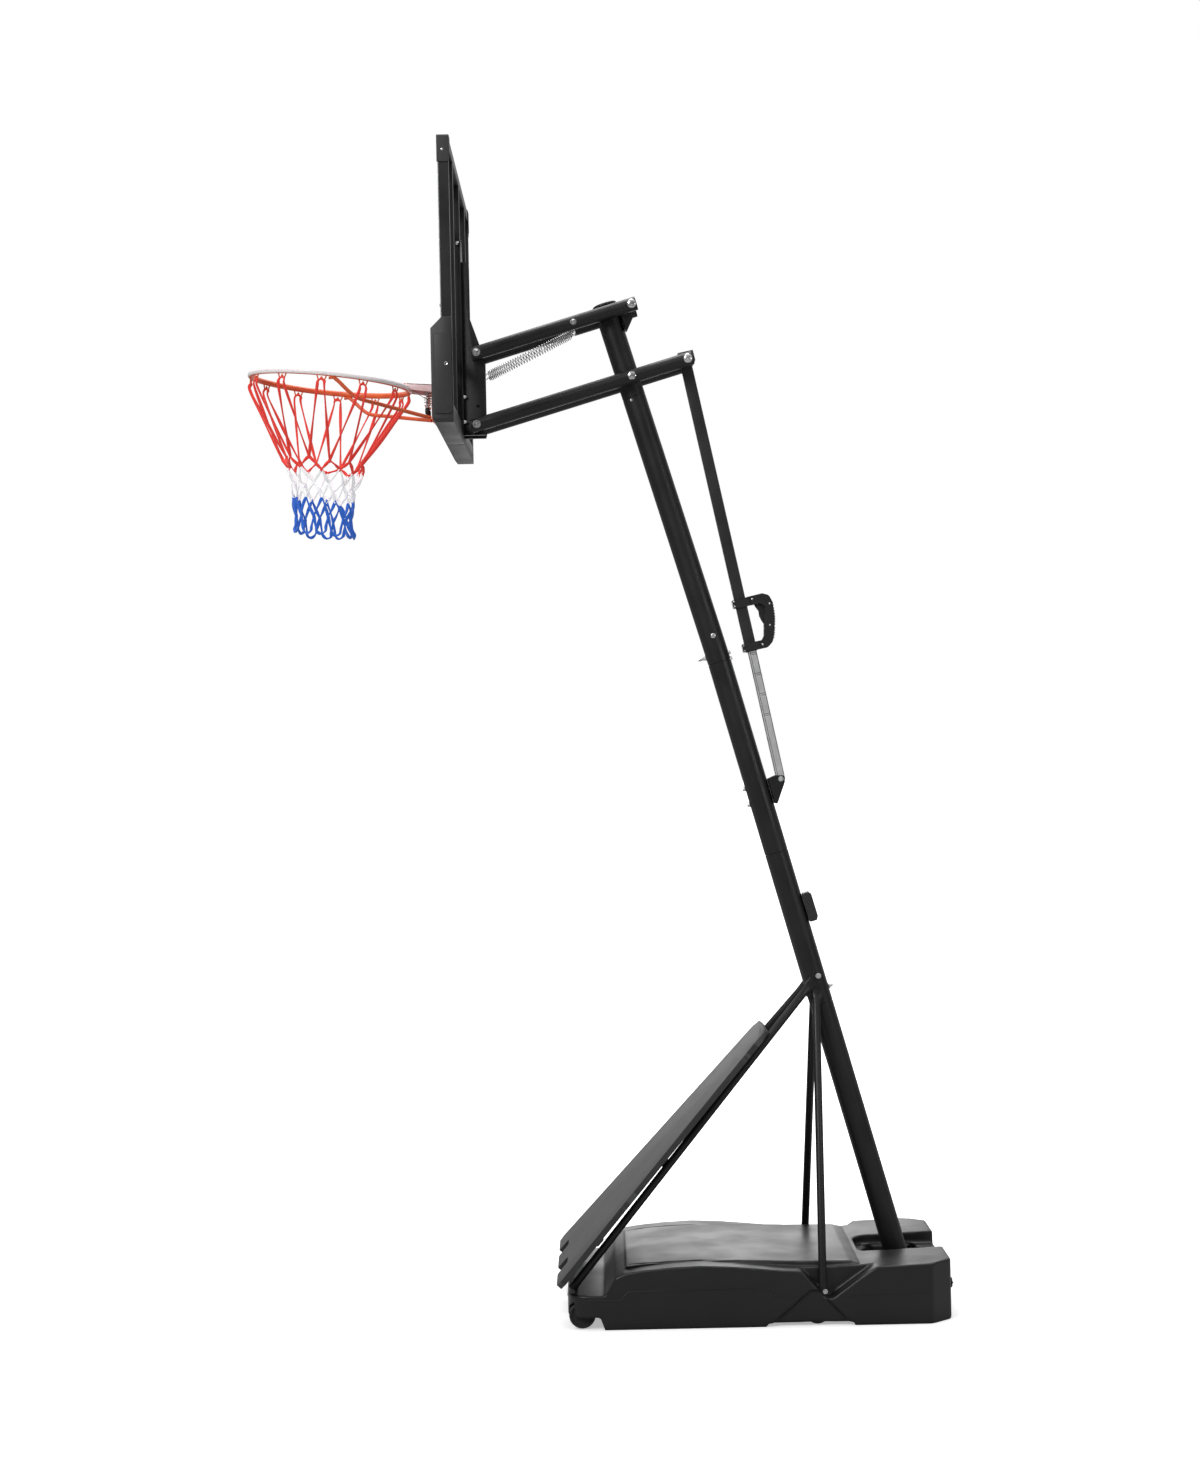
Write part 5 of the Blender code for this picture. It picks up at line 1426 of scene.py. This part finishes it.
def base():
    """The blow-moulded tank: sharp solids combined, then softened the way a moulding's edges are."""
    body = bmesh.new()
    prism(body, base_outline(), 0.0, 0.22)
    parts = [("tank", body, None)]
    parts.append(("sides", side_prism([*SIDE_CROWN, *REAR_CROWN, *UNDERSIDE], -0.5, 0.5), "INTERSECT"))
    plateau = [(-0.390, 0.10), (-0.378, 0.166), (-0.330, 0.172), (-0.250, 0.177), (-0.169, 0.180),
               (-0.060, 0.179)]
    plateau += [(0.050, 0.175), (0.115, 0.1725), (0.262, 0.171), (0.290, 0.164), (0.290, 0.10)]
    parts.append(("plateau", side_prism(plateau, -0.284, 0.284), "UNION"))
    notch = [(0.105, 0.26), (0.105, 0.174), (0.190, 0.078), (0.208, 0.078), (0.286, 0.134), (0.340, 0.170),
             (0.340, 0.26)]
    arch = [(0.024, -0.02), (0.024, 0.0), (0.145, 0.102), (0.168, 0.102), (0.203, 0.065), (0.266, 0.0),
            (0.266, -0.02)]
    under = [(0.020, -0.02), (0.020, 0.009), (0.270, 0.009), (0.270, -0.02)]
    for _, side in SIDES:
        for name, outline, inner in (("notch", notch, 0.300), ("arch", arch, 0.345), ("under", under, 0.285)):
            low, high = sorted((-side * inner, -side * 0.420))
            parts.append((name, side_prism(outline, low, high), "DIFFERENCE"))
        for x in (-0.507, 0.165):
            centre = Vector((x, side * 0.321, 0.040))
            turned = bmesh.new()
            lathe(turned, [(0, -0.017), (0.0425, -0.017), (0.0425, 0.017), (0, 0.017)], facing(centre, Y), 32)
            parts.append(("pocket", turned, "DIFFERENCE"))
            square = bmesh.new()
            block(square, centre - Vector((0.0420, 0.0165, 0.08)), centre + Vector((0.0420, 0.0165, 0.0)))
            parts.append(("pocket_mouth", square, "DIFFERENCE"))
        groove = bmesh.new()
        path = vectors((0.272, side * 0.40, 0.182), (0.276, side * 0.285, 0.182), (0.335, side * 0.09, 0.186))
        sweep(groove, path, 0.016, 16)
        parts.append(("groove", groove, "DIFFERENCE"))
        crease = bmesh.new()
        path = vectors((-0.375, side * 0.255, 0.170), (-0.300, side * 0.272, 0.1765),
                       (-0.12, side * 0.280, 0.1830))
        sweep(crease, path, 0.0055, 12)
        parts.append(("crease", crease, "DIFFERENCE"))
    recess = bmesh.new()
    prism(recess, fillet([(0.306, -0.118), (0.70, -0.118), (0.70, 0.118), (0.306, 0.118)], 0.050, 6), 0.140,
          0.26)
    parts.append(("recess", recess, "DIFFERENCE"))
    for y in (-0.075, 0.075):
        ridge = bmesh.new()
        block(ridge, (0.330, y - 0.007, 0.12), (0.546, y + 0.007, 0.150))
        parts.append(("ridge", ridge, "UNION"))
    cup = bmesh.new()
    profile = [(0, 0.101), (0.088, 0.101), (0.098, 0.120), (0.098, 0.30), (0, 0.30)]
    lathe(cup, profile, Matrix.Translation((0.420, 0, 0)), 40)
    parts.append(("cup", cup, "DIFFERENCE"))
    tank, objects = solid_of(parts)
    remesh = tank.modifiers.new("Remesh", "REMESH")
    remesh.mode = "VOXEL"
    remesh.voxel_size = 0.0036
    soften = tank.modifiers.new("Soften", "SMOOTH")
    soften.factor = 0.5
    soften.iterations = 7
    mesh = baked(tank, objects)
    keep_mesh("base_tank_shell", mesh, TANK, "stand", ("base_tank", "ballast_water"), 180)
    seam_lip()


def seam_lip():
    """The mould's parting line: a thin raised bead along the sides, broken by the wheel arches."""
    front = [Vector((x, -0.3548, z)) for x, z in reversed(SEAM[1:])]
    r, turns = 0.070, (0.0, 0.39, 0.79, 1.18, 1.57)
    corner = [Vector((-0.478 - r * math.sin(a), -0.2848 - r * math.cos(a), 0.088)) for a in turns]
    half = front + corner
    bm = bmesh.new()
    sweep(bm, half + mirrored(reversed(half)), 0.0016, 8)
    rear = vectors((0.240, -0.3548, 0.085), (0.486, -0.3548, 0.090), (0.549, -0.2960, 0.094),
                   (0.5538, -0.288, 0.094))
    sweep(bm, rear + mirrored(reversed(rear)), 0.0016, 8)
    keep("base_parting_line", bm, TANK, "stand")


def fill_cap():
    place = facing(pivot("fill_cap_turn"), X)
    bm = bmesh.new()
    profile = [(0, -0.010), (0.0098, -0.010), (0.0098, 0.0004), (0.0134, 0.0004), (0.0140, 0.0012),
               (0.0140, 0.0048), (0.0130, 0.0060), (0, 0.0060)]
    lathe(bm, profile, place, 32)
    for i in range(20):
        turn = place @ Matrix.Rotation(2 * math.pi * i / 20, 4, "Z")
        block(bm, (0.0134, -0.0008, 0.0008), (0.0146, 0.0008, 0.0050), 0.0003, 1, turn)
    block(bm, (-0.0100, -0.0018, 0.0055), (0.0100, 0.0018, 0.0090), 0.0010, 2, place)
    keep("fill_cap_knob", bm, CAP, "fill_cap", ("fill_cap",))


def wheels():
    for row in ("front", "rear"):
        for name, _ in SIDES:
            node = f"{row}_wheel_{name}"
            centre = pivot(node + "_spin")
            bm = bmesh.new()
            profile = [(0.0056, -0.0145), (0.0110, -0.0145), (0.0125, -0.0105), (0.0290, -0.0105),
                       (0.0310, -0.0135)]
            profile += [(0.0345, -0.0140), (0.0372, -0.0120), (0.0380, -0.0080)]
            profile += [(r, -h) for r, h in reversed(profile)]
            lathe(bm, profile, facing(centre, Y), 48, closed=True)
            keep(node + "_tyre", bm, TYRE, node, (node,))
        centre = pivot(f"{row}_wheel_left_spin")
        bm = bmesh.new()
        shank(bm, Vector((centre.x, 0.0, centre.z)), 0.341, 0.0050)
        keep(f"{row}_axle_rod", bm, ZINC, "stand", (f"{row}_axle",))


# ---------------------------------------------------------------- studio


WORLD_FLOOR = 0.16  # how bright the surroundings are at eye level
CAMERA_PLACE = (-0.422, -7.8, 1.703)
CAMERA_LENS = 64.17
CAMERA_ROLL = 1.2  # degrees


def studio():
    """A pale seamless floor, one big softbox above the camera's left shoulder, and dim surroundings."""
    floor = bmesh.new()
    bmesh.ops.create_grid(floor, x_segments=1, y_segments=1, size=80.0)
    mesh = bpy.data.meshes.new("floor")
    floor.to_mesh(mesh)
    floor.free()
    obj = bpy.data.objects.new("floor", mesh)
    bpy.context.scene.collection.objects.link(obj)
    mesh.materials.append(floor_paint())
    backdrop()
    softbox("key", (-4.2, -5.0, 5.5), (-0.2, 0.0, 1.9), 2.2, 230.0)
    softbox("side", (4.5, -4.0, 3.2), (0.0, 0.0, 1.5), 1.2, 40.0)
    softbox("top", (-0.5, 1.5, 7.0), (0.0, 0.0, 0.0), 3.0, 150.0)
    softbox("front", (0.6, -11.0, 1.6), (0.0, 0.0, 1.5), 1.8, 10.0)
    softbox("back", (0.0, 5.5, 1.25), (0.0, 0.0, 0.15), 2.2, 20.0)
    scene = bpy.context.scene
    scene.view_settings.view_transform = "Standard"
    camera = bpy.data.cameras.new("camera")
    camera.lens = CAMERA_LENS
    camera.clip_end = 200.0
    view = bpy.data.objects.new("camera", camera)
    scene.collection.objects.link(view)
    view.location = CAMERA_PLACE
    view.rotation_euler = (math.radians(90.0), math.radians(CAMERA_ROLL), 0.0)
    scene.camera = view


def backdrop():
    """White to the camera, and dim surroundings that brighten upwards and to the far side."""
    world = bpy.data.worlds.new("studio")
    bpy.context.scene.world = world
    world.use_nodes = True
    nodes, links = world.node_tree.nodes, world.node_tree.links
    background = nodes["Background"]
    coords = nodes.new("ShaderNodeTexCoord")
    split = nodes.new("ShaderNodeSeparateXYZ")
    links.new(coords.outputs["Generated"], split.inputs[0])
    total = None
    for axis, low, high, gain in (("Z", 0.25, 0.95, 0.75), ("Y", 0.1, 0.9, 0.55)):
        ramp = nodes.new("ShaderNodeMapRange")
        ramp.interpolation_type = "SMOOTHSTEP"
        links.new(split.outputs[axis], ramp.inputs["Value"])
        for key, value in (("From Min", low), ("From Max", high), ("To Max", gain)):
            ramp.inputs[key].default_value = value
        ramp.inputs["To Min"].default_value = WORLD_FLOOR if total is None else 0.0
        if total is None:
            total = ramp.outputs["Result"]
        else:
            join = nodes.new("ShaderNodeMath")
            join.operation = "ADD"
            links.new(total, join.inputs[0])
            links.new(ramp.outputs["Result"], join.inputs[1])
            total = join.outputs[0]
    links.new(total, background.inputs["Strength"])
    background.inputs["Color"].default_value = (1.0, 1.0, 1.0, 1.0)
    seen = nodes.new("ShaderNodeBackground")
    seen.inputs["Color"].default_value = (1.0, 1.0, 1.0, 1.0)
    path = nodes.new("ShaderNodeLightPath")
    mix = nodes.new("ShaderNodeMixShader")
    links.new(path.outputs["Is Camera Ray"], mix.inputs[0])
    links.new(background.outputs[0], mix.inputs[1])
    links.new(seen.outputs[0], mix.inputs[2])
    links.new(mix.outputs[0], nodes["World Output"].inputs["Surface"])


def floor_paint():
    """Pale paint that brightens into the backdrop away from the hoop, and throws little light back up."""
    made = Nodes("floor_paint", (0.9, 0.9, 0.9), 0.9, 0.0, 0.05)
    path = made.node("LightPath").outputs["Is Camera Ray"]
    grain = made.mix(made.ramp(made.noise(3.0, 4.0), 0.3, 0.7), (0.88, 0.88, 0.88), (0.91, 0.91, 0.91))
    made.to_shader(made.mix(path, (0.42, 0.42, 0.42), grain), "Base Color")
    glow = made.ramp(made.vector("LENGTH", made.coords), 0.5, 2.6, 0.42, 1.0)
    made.set("Emission Color", (1.0, 1.0, 1.0, 1.0))
    made.to_shader(made.math("MULTIPLY", glow, path), "Emission Strength")
    return made.material


def softbox(name, place, aim, size, power):
    light = bpy.data.lights.new(name, "AREA")
    light.shape = "SQUARE"
    light.size = size
    light.energy = power
    obj = bpy.data.objects.new(name, light)
    bpy.context.scene.collection.objects.link(obj)
    obj.location = place
    obj.visible_camera = False
    obj.rotation_mode = "QUATERNION"
    obj.rotation_quaternion = (Vector(aim) - Vector(place)).to_track_quat("-Z", "Y")


# ---------------------------------------------------------------- build

pole()
pole_hardware()
head_bracket()
adjuster_bracket()
grip_block()
arms()
arm_bolts()
spring_anchor()
lift_springs()
adjuster_tube()
adjuster_bar()
handle()
trigger()
board()
corner_caps()
edge_pads()
board_bracket()
ring()
rim_mount()
net()
struts()
guard_panel()
base()
fill_cap()
wheels()
studio()
